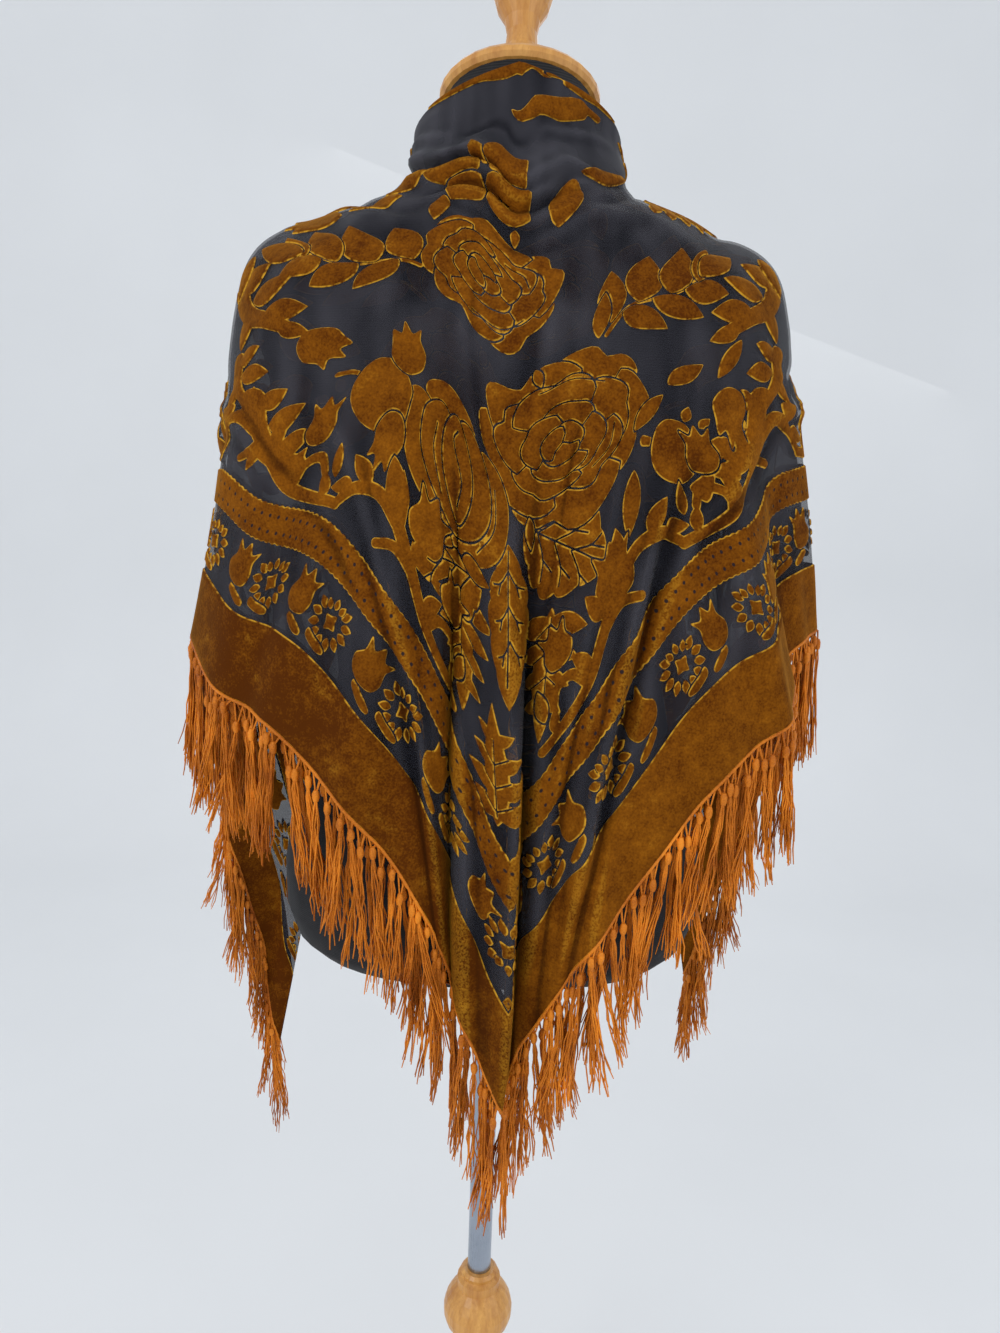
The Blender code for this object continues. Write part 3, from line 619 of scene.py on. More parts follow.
def garland():
    """One repeat of the scrolling border, x along the hem and y in from the dotted band."""
    strokes = [
        stem([(-6, 10), (22, 7), (52, 10), (82, 24), (112, 38)], 8, 12),
        stem([(52, 10), (47, 27), (32, 33), (21, 25)], 9, 7),
        stem([(82, 24), (104, 25), (118, 14)], 9, 7),
        stem([(112, 38), (136, 40), (158, 28), (168, 12)], 12, 8),
    ]
    for x, y, size, turn in ((10, 9, 20, 20), (64, 16, 24, -42), (92, 32, 26, -30), (118, 40, 30, 8),
                             (148, 36, 27, 56), (160, 26, 22, 96)):
        strokes += turned(leaf(size, 0.60 * size, 0.3, 0.0), x, y, turn)
    strokes += turned(tulip(), 44, 40, 16, 1.0)
    return strokes + turned(leaf(24, 11), 8, 24, 24)


def blossom():
    """An open flower of five broad petals."""
    strokes = []
    for number, turn in enumerate((180, 118, 244, 44, -50)):
        size = (26, 46, 42, 44, 42)[number]
        width = (17, 34, 32, 42, 38)[number]
        strokes += turned(leaf(size, width), 4 * math.sin(math.radians(turn)),
                          4 * math.cos(math.radians(turn)), turn)
    return strokes


def plump_leaf():
    return leaf(46, 28)


def torn_leaf():
    return [blot([(-34, -4), (-22, 5), (-8, 9), (2, 14), (17, 12), (23, 6), (30, 11), (35, 2), (26, -4),
                  (21, -11), (6, -8), (-6, -11), (-18, -8)])]


MAKERS = {maker.__name__: maker for maker in (
    leaf, plump_leaf, vine_leaf, long_leaf, rose, rosebud, spray, globe_bud, plain_bud, hop_leaf, tulip,
    ring_flower, dash, acanthus, half_acanthus, blossom, torn_leaf)}

# Motifs placed one by one, in millimetres: kind, foot or middle (u, v), turn, size, and whether
# it is mirrored.  A turn of 0 points the motif straight down the back.
MOTIFS = (
    ("acanthus", -50, 498, 4, 1.05, 0), ("acanthus", 52, 492, -2, 1.10, 1),
    ("acanthus", -8, 642, 184, 1.02, 0), ("long_leaf", 2, 444, 2, 1.00, 0),
    ("vine_leaf", 18, 430, 60, 0.98, 0), ("vine_leaf", -26, 484, -72, 0.86, 1),
    ("rose", 52, 367, 158, 1.38, 1), ("rose", -22, 236, 36, 1.08, 0),
    ("rosebud", -54, 478, 180, 1.00, 0), ("leaf", 22, 426, 8, 0.55, 0),
    ("leaf", 20, 300, 20, 0.45, 0), ("spray", -84, 256, -112, 1.00, 1),
    ("spray", 82, 296, 127, 1.00, 0), ("leaf", 74, 296, 176, 1.00, 0),
    ("leaf", 146, 350, 146, 0.95, 0), ("leaf", 122, 394, 146, 0.95, 0),
    ("globe_bud", 140, 404, 84, 1.02, 0), ("leaf", 124, 420, -2, 1.02, 0),
    ("plain_bud", -150, 376, 45, 1.05, 0), ("hop_leaf", -100, 384, 180, 1.00, 0),
    ("hop_leaf", -176, 296, 20, 0.95, 0), ("hop_leaf", -112, 418, -40, 0.80, 0),
    ("leaf", -118, 444, 4, 1.25, 0), ("tulip", -96, 500, 150, 1.30, 0),
    ("tulip", 118, 500, 200, 1.30, 0), ("half_acanthus", -228, 222, 22, 1.10, 0),
    ("half_acanthus", -246, 288, -5, 0.90, 0), ("half_acanthus", -234, 344, 10, 0.95, 0),
    ("half_acanthus", 224, 218, -22, 1.10, 1), ("half_acanthus", 242, 284, 5, 0.90, 1),
    ("half_acanthus", 230, 336, -10, 0.95, 1), ("hop_leaf", 196, 330, 16, 0.95, 1),
    ("leaf", 196, 290, -20, 0.90, 0), ("blossom", -30, 128, 14, 1.00, 0),
    ("leaf", -62, 158, -12, 0.95, 0), ("plump_leaf", 44, 124, -14, 1.05, 0),
    ("leaf", 50, 112, 104, 1.25, 0), ("leaf", 0, 160, 0, 0.42, 0),
    ("torn_leaf", 29, 38, 25, 1.12, 0), ("leaf", -70, 108, -64, 1.05, 0),
    ("leaf", -92, 136, -74, 1.10, 0), ("leaf", -130, 130, -84, 1.00, 0),
    ("hop_leaf", -142, 150, -72, 0.90, 0), ("acanthus", 118, 120, 62, 0.92, 0),
    ("hop_leaf", 104, 62, 96, 1.00, 0), ("acanthus", -176, 92, -76, 0.95, 1),
    ("rose", -262, 138, 60, 0.80, 0), ("rose", 270, 138, -60, 0.80, 1),
    ("spray", -196, 44, -84, 0.90, 0), ("spray", 190, 44, 84, 0.90, 1),
    ("leaf", -208, 196, -40, 1.0, 0), ("leaf", 206, 196, 40, 1.0, 0),
    ("vine_leaf", -318, 128, -80, 0.80, 0), ("vine_leaf", 326, 128, 80, 0.80, 0),
    ("hop_leaf", -322, 176, -40, 1.10, 0), ("hop_leaf", 328, 176, 40, 1.10, 0),
    ("rosebud", -318, 46, -82, 0.86, 0), ("rosebud", 324, 46, 82, 0.86, 0),
    ("hop_leaf", -432, 46, -84, 1.10, 0), ("hop_leaf", 438, 46, 84, 1.10, 0),
    ("spray", -404, 92, -72, 0.80, 0), ("spray", 410, 92, 72, 0.80, 1),
    ("globe_bud", -500, 40, -86, 1.00, 0), ("globe_bud", 506, 40, 86, 1.00, 0),
    ("acanthus", -556, 24, -88, 0.90, 0), ("acanthus", 562, 24, 88, 0.90, 0),
    ("leaf", -96, 34, -84, 1.00, 0), ("leaf", -146, 26, -88, 1.10, 0),
    ("leaf", 92, 20, 88, 1.05, 0), ("torn_leaf", -150, 66, 172, 0.90, 0),
    ("torn_leaf", -20, -2, 2, 1.25, 0), ("torn_leaf", 48, -3, -4, 0.95, 1),
)
# The two under the border's row, at the back corner.
CORNER_MOTIFS = (("ring_flower", 0, 730, 180, 1.00, 0), ("leaf", 0, 764, 0, 0.60, 0))


def border_place(along, across, side):
    """A flat place from its length along one hem from the back corner and its depth in."""
    along = np.asarray(along, dtype=float)
    across = np.asarray(across, dtype=float)
    u = side * (along - across) / ROOT_TWO
    v = HALF_DIAGONAL - (along + across) / ROOT_TWO
    return np.stack([u, v], axis=-1)


def border_strokes(strokes, side):
    """Strokes drawn along a hem, in millimetres, carried to the flat cloth."""
    return [stroke._replace(points=1000 * border_place(*(stroke.points.T / 1000), side))
            for stroke in strokes]


def border_row():
    """Ring flowers, tulips and dashes between the hem band and the dotted band."""
    strokes = []
    for number in range(12):
        along = ROW_START + BORDER_PERIOD * number
        strokes += turned(ring_flower(), along, 90, 190, 0.98)
        strokes += turned(tulip(), along - 46, 78, -6, 1.04)
        strokes += turned(dash(), along - 8, 67, 76, 1.0)
        strokes += turned(dash(), along + 22, 66, 66, 1.0)
    return strokes


def placed_strokes(motifs):
    """The strokes of a table of motifs."""
    return [stroke for kind, u, v, turn, size, mirrored in motifs
            for stroke in turned(MAKERS[kind](), u, v, turn, size, bool(mirrored))]


@functools.lru_cache(maxsize=1)
def drawn_velvet():
    """The whole velvet pattern of one layer, drawn on the flat triangle."""
    drawing = Drawing((-REACH, 0.0), (REACH, REACH))
    drawing.draw(placed_strokes(MOTIFS))
    for side in (-1, 1):
        for number in range(5):
            scroll = turned(garland(), GARLAND_START + 2 * BORDER_PERIOD * number, GARLAND_DEPTH)
            drawing.draw(border_strokes(scroll, side))
    drawing.clear_border(1000 * DOTTED_HIGH + BAND_GAP)
    for side in (-1, 1):
        drawing.draw(border_strokes(border_row(), side))
    drawing.draw(placed_strokes(CORNER_MOTIFS))
    drawing.clear_border(1000 * HEM_BAND + ROW_GAP)
    drawing.value[:, 0] = GRAIN / 2
    return drawing


class Drawing:
    """A pattern on a fine grid in millimetres: below zero on the pile, above it on the ground."""

    def __init__(self, low, high):
        self.low = np.array(low)
        self.value = np.full(np.ceil((np.array(high) - self.low) / GRAIN).astype(int) + 1,
                             OPEN_GROUND)

    def draw(self, strokes):
        for stroke in strokes:
            margin = STROKE_MARGIN + float(np.max(stroke.width))
            first = np.floor((stroke.points.min(axis=0) - margin - self.low) / GRAIN).astype(int)
            last = np.ceil((stroke.points.max(axis=0) + margin - self.low) / GRAIN).astype(int)
            first = np.maximum(first, 0)
            last = np.minimum(last, self.value.shape)
            if (last <= first).any():
                continue
            area = (slice(first[0], last[0]), slice(first[1], last[1]))
            x, y = np.meshgrid(*[self.low[axis] + GRAIN * np.arange(first[axis], last[axis])
                                 for axis in range(2)], indexing="ij")
            reach = distances(np.stack([x.ravel(), y.ravel()], axis=1), stroke).reshape(x.shape)
            if stroke.kind == "cut":
                self.value[area] = np.maximum(self.value[area], stroke.width - reach)
                continue
            if stroke.kind == "lay" and stroke.width > 0:
                self.value[area] = np.maximum(self.value[area], stroke.width - reach)
            self.value[area] = np.minimum(self.value[area], reach)

    def clear_border(self, depth):
        """Take all velvet away that lies nearer to a hem than depth."""
        u = self.low[0] + GRAIN * np.arange(self.value.shape[0])[:, None]
        v = self.low[1] + GRAIN * np.arange(self.value.shape[1])[None, :]
        across = (REACH - np.abs(u) - v) / ROOT_TWO
        self.value = np.maximum(self.value, np.minimum(depth - across, OPEN_GROUND))

    def read(self, places):
        return read_between(self.value, *((places - self.low) / GRAIN).T)


def distances(places, stroke):
    """How far places lie from a stroke, below zero inside it."""
    closed = stroke.kind == "lay"
    starts = stroke.points if closed else stroke.points[:-1]
    ends = np.roll(stroke.points, -1, axis=0) if closed else stroke.points[1:]
    along = ends - starts
    away_x = places[:, :1] - starts[:, 0]
    away_y = places[:, 1:] - starts[:, 1]
    squared = np.maximum((along**2).sum(axis=1), 1e-9)
    share = np.clip((away_x * along[:, 0] + away_y * along[:, 1]) / squared, 0.0, 1.0)
    reach = np.hypot(away_x - share * along[:, 0], away_y - share * along[:, 1])
    if stroke.kind == "stem":
        return (reach - stroke.width[:-1] - share * np.diff(stroke.width)).min(axis=1)
    reach = reach.min(axis=1)
    if closed:
        y = places[:, 1:]
        crosses = (starts[:, 1] > y) != (ends[:, 1] > y)
        rise = np.where(along[:, 1] == 0, 1e-9, along[:, 1])
        within = (crosses & (away_x < along[:, 0] * away_y / rise)).sum(axis=1) % 2 == 1
        reach = np.where(within, -reach, reach)
    return reach


def level_loops(value, level):
    """Closed lines, in grid steps, where a grid of values crosses a level."""
    low = value < level
    count = low[:-1, :-1].astype(int) + low[1:, :-1] + low[:-1, 1:] + low[1:, 1:]
    links = collections.defaultdict(list)
    for i, j in np.argwhere((count > 0) & (count < 4)).tolist():
        a, b, c, d = low[i, j], low[i + 1, j], low[i + 1, j + 1], low[i, j + 1]
        ends = (((i, j, 0), a, b), ((i + 1, j, 1), b, c), ((i, j + 1, 0), d, c), ((i, j, 1), a, d))
        sides = [key for key, one, other in ends if one != other]
        if len(sides) == 4 and a != (value[i:i + 2, j:j + 2].mean() < level):
            sides = sides[3:] + sides[:3]
        for first, second in zip(sides[::2], sides[1::2]):
            links[first].append(second)
            links[second].append(first)
    loops = []
    while links:
        key, onward = links.popitem()
        loop = [key]
        key = onward[0]
        while key in links:
            loop.append(key)
            onward = links.pop(key)
            key = onward[0] if onward[0] in links else onward[1]
        loops.append(np.array(loop))
    return [crossing_points(value, level, loop) for loop in loops]


def crossing_points(value, level, keys):
    """Where the grid's own lines meet the level."""
    i, j, way = keys.T
    start = value[i, j]
    end = value[i + (way == 0), j + (way == 1)]
    share = (level - start) / (end - start)
    return np.stack([i + share * (way == 0), j + share * (way == 1)], axis=1)


def simplified(loop, slack, longest):
    """A closed line with few points that keeps within slack of the loop."""
    far = int(np.argmax(np.linalg.norm(loop - loop[0], axis=1)))
    closed = np.vstack([loop, loop[:1]])
    keep = {0, far, len(loop)}
    spans = [(0, far), (far, len(loop))]
    while spans:
        low, high = spans.pop()
        if high - low < 2:
            continue
        chord = closed[high] - closed[low]
        length = max(float(np.hypot(*chord)), 1e-9)
        away = closed[low + 1:high] - closed[low]
        off = np.abs(away[:, 0] * chord[1] - away[:, 1] * chord[0]) / length
        worst = int(np.argmax(off))
        if off[worst] > slack or length > longest:
            split = low + 1 + (worst if off[worst] > slack else (high - low) // 2 - 1)
            keep.add(split)
            spans += [(low, split), (split, high)]
    return closed[sorted(keep)[:-1]]


@functools.lru_cache(maxsize=1)
def filled_pattern():
    """The drawn pattern as a mesh: flat places in metres, share of full height (0 or 1), faces."""
    sizes = bpy.context.scene.shawl_sizes
    drawing = drawn_velvet()
    points, heights, edges = [], [], []
    count = 0
    rim = 1000 * sizes.rim_width
    for level, height in ((0.0, 0.0), (-rim, 1.0)):
        for loop in level_loops(drawing.value, level):
            if len(loop) < SHORTEST_LOOP:
                continue
            line = simplified(loop * GRAIN, LINE_SLACK, LONGEST_EDGE) + drawing.low
            if len(line) < 3:
                continue
            edges += [(count + k, count + (k + 1) % len(line)) for k in range(len(line))]
            points.append(line)
            heights.append(np.full(len(line), height))
            count += len(line)
    step = 1000 * sizes.pile_step
    u, v = np.meshgrid(np.arange(-REACH, REACH, step), np.arange(0.0, REACH, ROW_SPACING * step),
                       indexing="ij")
    u = u + step / 2 * (np.arange(u.shape[1]) % 2)
    grid = np.stack([u.ravel(), v.ravel()], axis=1)
    grid = grid[drawing.read(grid) < -rim - 0.35 * step]
    points.append(grid)
    heights.append(np.ones(len(grid)))
    heights = np.concatenate(heights)
    found = delaunay_2d_cdt([Vector(point) for point in np.vstack(points)], edges, [], 0, 1e-5)
    flat = np.array([tuple(corner) for corner in found[0]])
    height = np.array([min((heights[k] for k in source), default=0.0) for source in found[3]])
    faces = np.array([face for face in found[2] if len(face) == 3])
    faces = faces[drawing.read(flat[faces].mean(axis=1)) < 0.0]
    return flat / 1000, height, faces


def band(side, edges, low, high, step, rim, inner_step):
    """A strip along one hem: flat points, shares of full height, and quads.

    edges gives the strip's two depths for lengths along the hem.  The strip is mitred at the
    back corner and cut by the folded edge at its end.
    """
    near, far = edges(np.array([0.0]))
    width = float(far[0] - near[0])
    count = max(2, int(round((width - 2 * rim) / inner_step)))
    shares = np.concatenate([[0.0], np.linspace(rim / width, 1 - rim / width, count + 1), [1.0]])
    t = np.linspace(low, high, int((high - low) / step) + 1)
    near, far = edges(t)
    flat = []
    for share in shares:
        across = near + (far - near) * share
        flat.append(border_place(np.clip(t, across, SQUARE_SIDE - across), across, side))
    flat = np.array(flat)
    height = np.where((shares == 0.0) | (shares == 1.0), 0.0, 1.0)
    rows, columns = flat.shape[:2]
    corner = (np.arange(rows - 1)[:, None] * columns + np.arange(columns - 1)).reshape(-1, 1)
    quads = corner + np.array((0, 1, columns + 1, columns))
    return flat.reshape(-1, 2), np.repeat(height, columns), quads if side > 0 else quads[:, ::-1]


# Each band's step along the hem and across it.
HEM_BAND_STEPS = (0.0036, 0.0042)
DOTTED_BAND_STEPS = (0.0016, 0.0050)


def hem_band_edges(along):
    return np.full_like(along, HEM_START), np.full_like(along, HEM_BAND)


def dotted_band_edges(along):
    wave = SCALLOP * np.abs(np.sin(np.pi * along / SCALLOP_PITCH))
    return DOTTED_LOW - wave, DOTTED_HIGH + wave


# Turning flat pieces into meshes.

def seam_length():
    """The length along a hem from the back corner to where the back meets an end."""
    tangent = math.tan(math.radians(SIDE_SEAM))
    return HALF_DIAGONAL * tangent / (1 + tangent) * ROOT_TWO


@functools.lru_cache(maxsize=1)
def velvet_stretches():
    """All velvet of one layer in three stretches: the back and the two ends."""
    sizes = bpy.context.scene.shawl_sizes
    flat, height, faces = filled_pattern()
    middles = flat[faces].mean(axis=1)
    direction = np.degrees(np.arctan2(middles[:, 0], middles[:, 1]))
    seam = seam_length()
    stretches = {}
    for stretch, kept in (("back", np.abs(direction) <= SIDE_SEAM),
                          ("left_end", direction < -SIDE_SEAM), ("right_end", direction > SIDE_SEAM)):
        used, own = np.unique(faces[kept], return_inverse=True)
        parts = [(flat[used], height[used], own.reshape(-1, 3))]
        for side, end in ((-1, "left_end"), (1, "right_end")):
            if stretch not in ("back", end):
                continue
            low, high = (0.0, seam) if stretch == "back" else (seam, SQUARE_SIDE)
            for edges, (step, inner) in ((hem_band_edges, HEM_BAND_STEPS),
                                         (dotted_band_edges, DOTTED_BAND_STEPS)):
                parts.append(band(side, edges, low, high, step, sizes.rim_width, inner))
        stretches[stretch] = parts
    return stretches


def joined(parts):
    """Flat parts as one list of points, shares of height and faces."""
    flats, heights, _ = zip(*parts)
    starts = np.cumsum([0] + [len(flat) for flat in flats])
    faces = [tuple(face) for (_, _, own), start in zip(parts, starts)
             for face in (own + start).tolist()]
    return np.vstack(flats), np.concatenate(heights), faces


def new_mesh(name, points, faces, flat, **values):
    """A mesh with its flat places as a UV map and any further values as attributes."""
    mesh = bpy.data.meshes.new(name)
    mesh.from_pydata(points.tolist(), [], faces)
    corners = np.empty(len(mesh.loops), dtype=np.int32)
    mesh.loops.foreach_get("vertex_index", corners)
    layer = mesh.uv_layers.new(name="flat")
    layer.data.foreach_set("uv", flat[corners].astype(np.float32).ravel())
    for title, value in values.items():
        attribute = mesh.attributes.new(title, "FLOAT", "POINT")
        attribute.data.foreach_set("value", np.asarray(value, dtype=np.float32).ravel())
    mesh.shade_smooth()
    return mesh


def add_piece(name, mesh, material, replaced=()):
    piece = bpy.data.objects.new(name, mesh)
    bpy.context.scene.collection.objects.link(piece)
    piece.data.materials.clear()
    piece.data.materials.append(material)
    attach(piece, BODY)
    if replaced:
        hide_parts(*replaced)
    return piece


# Materials.

class Wire:
    """A socket in a material's nodes; sums on it are written as Python expressions."""

    def __init__(self, tree, socket=None):
        self.tree = tree
        self.socket = socket

    def node(self, kind, output=0, settings=None, inputs=None):
        made = self.tree.nodes.new("ShaderNode" + kind)
        for title, value in (settings or {}).items():
            if title == "stops":
                ramp = made.color_ramp
                while len(ramp.elements) < len(value):
                    ramp.elements.new(1.0)
                for element, (position, colour) in zip(ramp.elements, value):
                    element.position = position
                    element.color = (*colour, 1.0)
            else:
                setattr(made, title, value)
        for title, value in (inputs or {}).items():
            if isinstance(value, Wire):
                self.tree.links.new(value.socket, made.inputs[title])
            else:
                made.inputs[title].default_value = value
        return Wire(self.tree, made.outputs[output])

    def maths(self, operation, first, second=0.0):
        return self.node("Math", settings={"operation": operation}, inputs={0: first, 1: second})

    def __add__(self, other):
        return self.maths("ADD", self, other)

    __radd__ = __add__

    def __sub__(self, other):
        return self.maths("SUBTRACT", self, other)

    def __rsub__(self, other):
        return self.maths("SUBTRACT", other, self)

    def __mul__(self, other):
        return self.maths("MULTIPLY", self, other)

    __rmul__ = __mul__

    def __truediv__(self, other):
        return self.maths("DIVIDE", self, other)

    def __abs__(self):
        return self.maths("ABSOLUTE", self)

    def ramp(self, low, high):
        """A smooth step from 0 at low to 1 at high, or falling where low is over high."""
        return self.node("MapRange", settings={"interpolation_type": "SMOOTHSTEP"},
                         inputs={"Value": self, "From Min": low, "From Max": high})

    def clamped(self):
        return self.node("Clamp", inputs={"Value": self})

    def noise(self, where, scale, detail=2.0, roughness=0.5):
        return self.node("TexNoise", inputs={"Vector": where, "Scale": scale, "Detail": detail,
                                             "Roughness": roughness})

    def mixed(self, share, first, second):
        """Two colours mixed by a share of the second."""
        values = [colour if isinstance(colour, Wire) else (*colour, 1.0) for colour in (first, second)]
        return self.node("Mix", 2, {"data_type": "RGBA"}, {0: share, 6: values[0], 7: values[1]})

    def bump(self, height, strength, distance):
        return self.node("Bump", inputs={"Height": height, "Strength": strength, "Distance": distance})


def new_material(name):
    """A material with its nodes, its shader and the object's coordinates."""
    material = bpy.data.materials.new(name)
    material.use_nodes = True
    tree = material.node_tree
    wire = Wire(tree)
    return material, wire, tree.nodes["Principled BSDF"], wire.node("TexCoord", "Object")


def finish_shader(wire, shader, constants, varying):
    """Fill in the shader's inputs."""
    for title, value in constants.items():
        shader.inputs[title].default_value = value
    for title, value in varying.items():
        wire.tree.links.new(value.socket, shader.inputs[title])


def flat_axes(wire):
    """The flat place (u, v) as two sockets."""
    flat = wire.node("UVMap", settings={"uv_map": "flat"})
    return [wire.node("SeparateXYZ", axis, inputs={0: flat}) for axis in ("X", "Y")]


@functools.lru_cache(maxsize=None)
def velvet_material(name="standing_velvet"):
    """Short silk pile with painted light: painted shade deep in its folds, a painted gold highlight on
    crests and along each burnt-out edge.
    """
    colours = bpy.context.scene.shawl_colours
    material, wire, shader, where = new_material(name)
    u, v = flat_axes(wire)
    crest = wire.node("Attribute", "Fac", {"attribute_name": "crest"})
    depth = wire.node("Attribute", "Fac", {"attribute_name": "depth"})
    lay = wire.noise(where, 42.0, 4.0, 0.62)
    tone = wire.noise(where, 8.0, 2.0)
    grain = wire.noise(where, 620.0, 2.0)
    tuft = wire.noise(where, 190.0, 3.0, 0.6)
    side = abs(u)
    across = (HALF_DIAGONAL - side - v) / ROOT_TWO
    along = (HALF_DIAGONAL + side - v) / ROOT_TWO
    middle = (DOTTED_LOW + DOTTED_HIGH) / 2
    row = abs(across - middle) - (DOTTED_HIGH - DOTTED_LOW) * 0.22
    stagger = along / DOT_PITCH + (across - middle).ramp(-0.0001, 0.0001) * 0.5
    step = (stagger.maths("FRACT", stagger) - 0.5) * DOT_PITCH
    reach = wire.maths("SQRT", row * row + step * step)
    dots = reach.ramp(DOT_RADIUS * 1.25, DOT_RADIUS * 0.75)
    rim = depth.ramp(0.95, 0.35)
    # Painted shade: the hem band darker on the left side, where its pile catches less light.
    painted_nap_shade = across.ramp(HEM_BAND + 0.002, HEM_BAND - 0.002) * (0.30 - u.ramp(-0.06, 0.10) * 0.34)
    # Random mottle of the pile, with painted light: lighter on crests, darker in troughs and on the
    # left hem band.
    lit = ((lay - 0.5) * 1.5 + (tone - 0.5) * 0.9 + (tuft - 0.5) * 0.8 + (grain - 0.5) * 1.2
           + crest * 0.16 + 0.42 - painted_nap_shade).clamped()
    body = wire.mixed(lit, colours.velvet_deep, colours.velvet_lit)
    # Painted highlight: gold sheen on crests and in random patches of the pile.
    painted_sheen = (crest.ramp(0.60, 1.0) * 0.20 + lay.ramp(0.60, 0.78) * 0.18) * grain.ramp(0.34, 0.60)
    body = wire.mixed(painted_sheen.clamped(), body, colours.velvet_gold_highlight)
    # Painted shade: troughs of the folds darkened towards near black.
    body = wire.mixed(crest.ramp(-0.10, -0.80) * 0.55, body, (0.020, 0.0050, 0.0003))
    # Painted highlight: a gold rim along each burnt-out edge, where the pile catches light.
    body = wire.mixed(rim * tuft.ramp(0.36, 0.60) * 0.9, body, colours.velvet_gold_highlight)
    # Painted shade: the burnt-out dots are filled with the ground's shade colour.
    body = wire.mixed(dots * 0.92, body, colours.sheer_shade)
    height = grain * 0.5 + tuft * 0.8 - dots * 1.2
    finish_shader(wire, shader,
                  {"Sheen Weight": 0.45, "Sheen Roughness": 0.30, "Specular IOR Level": 0.06,
                   "Sheen Tint": (0.90, 0.42, 0.03, 1.0)},
                  {"Base Color": body, "Roughness": 0.90 - rim * 0.2,
                   "Normal": wire.bump(height, 0.42, 0.0009)})
    return material


# The sheer grounds' materials and how much of the light each stops.
OUTER_GROUND = ("sheer_ground_outer", 0.56)
INNER_GROUND = ("sheer_ground_inner", 0.68)


@functools.lru_cache(maxsize=None)
def sheer_material(name, alpha):
    """Crinkled sheer ground with painted light and shade on its crinkles and crests, nearly opaque
    where it gathers round the neck.
    """
    colours = bpy.context.scene.shawl_colours
    material, wire, shader, where = new_material(name)
    crest = wire.node("Attribute", "Fac", {"attribute_name": "crest"})
    u, v = flat_axes(wire)
    stretched = wire.node("Mapping", inputs={0: where, 3: (1.0, 1.0, 0.16)})
    crinkle = wire.noise(stretched, 46.0, 1.4, 0.45)
    tone = wire.noise(where, 11.0, 2.0)
    # Painted light and shade: raised crinkles and crests lighter, troughs darker, with random tone.
    light = ((crinkle - 0.5) * 2.0 + (tone - 0.5) * 1.2 + crest * 0.45 + 0.36).clamped()
    body = wire.mixed(light, colours.sheer_shade, colours.sheer_ground)
    gathered = wire.maths("SQRT", u * u + v * v).ramp(0.165, 0.105) * 0.30
    thin = (gathered + alpha + (crinkle - 0.5) * 0.22).clamped()
    finish_shader(wire, shader,
                  {"Sheen Weight": 0.10, "Sheen Roughness": 0.40, "Specular IOR Level": 0.12},
                  {"Base Color": body, "Alpha": thin, "Roughness": 0.72 + (crinkle - 0.5) * 0.2,
                   "Normal": wire.bump(crinkle, 0.34, 0.0024)})
    return material


@functools.lru_cache(maxsize=None)
def thread_material(name="silky_thread"):
    colours = bpy.context.scene.shawl_colours
    material, wire, shader, where = new_material(name)
    tone = wire.noise(where, 26.0, 3.0)
    twist = wire.noise(where, 900.0, 2.0)
    share = ((tone - 0.5) * 2.0 + (twist - 0.5) * 0.9 + 0.5).clamped()
    body = wire.mixed(share, colours.thread_deep, colours.thread_lit)
    finish_shader(wire, shader,
                  {"Specular IOR Level": 0.18},
                  {"Base Color": body, "Roughness": 0.50 + (twist - 0.5) * 0.3,
                   "Normal": wire.bump(twist, 0.5, 0.0006)})
    return material


@functools.lru_cache(maxsize=None)
def wood_material(name="turned_honey_wood"):
    """Waxed pale wood with the grain running up the piece."""
    colours = bpy.context.scene.form_colours
    material, wire, shader, where = new_material(name)
    long = wire.node("Mapping", inputs={0: where, 3: (1.0, 1.0, 0.10)})
    rings = wire.noise(long, 130.0, 5.0, 0.62)
    pores = wire.noise(long, 620.0, 2.0)
    wear = wire.noise(where, 30.0, 3.0)
    share = ((rings - 0.5) * 2.4 + (wear - 0.5) * 0.8 + 0.5).clamped()
    body = wire.mixed(share, colours.wood_dark, colours.wood_light)
    body = wire.mixed(pores.ramp(0.60, 0.72) * 0.35, body, colours.wood_dark)
    finish_shader(wire, shader, {"Specular IOR Level": 0.5},
                  {"Base Color": body, "Roughness": 0.34 + (wear - 0.5) * 0.3,
                   "Normal": wire.bump(rings + pores * 0.4, 0.16, 0.0008)})
    return material


@functools.lru_cache(maxsize=None)
def steel_material(name="brushed_pole_steel"):
    colours = bpy.context.scene.form_colours
    material, wire, shader, where = new_material(name)
    long = wire.node("Mapping", inputs={0: where, 3: (1.0, 1.0, 0.02)})
    lines = wire.noise(long, 1400.0, 3.0)
    smudge = wire.noise(where, 22.0, 3.0)
    body = wire.mixed(smudge, colours.steel_dark, colours.steel_light)
    finish_shader(wire, shader, {"Metallic": 1.0},
                  {"Base Color": body, "Roughness": 0.30 + (lines - 0.5) * 0.2 + (smudge - 0.5) * 0.2,
                   "Normal": wire.bump(lines, 0.10, 0.0003)})
    return material


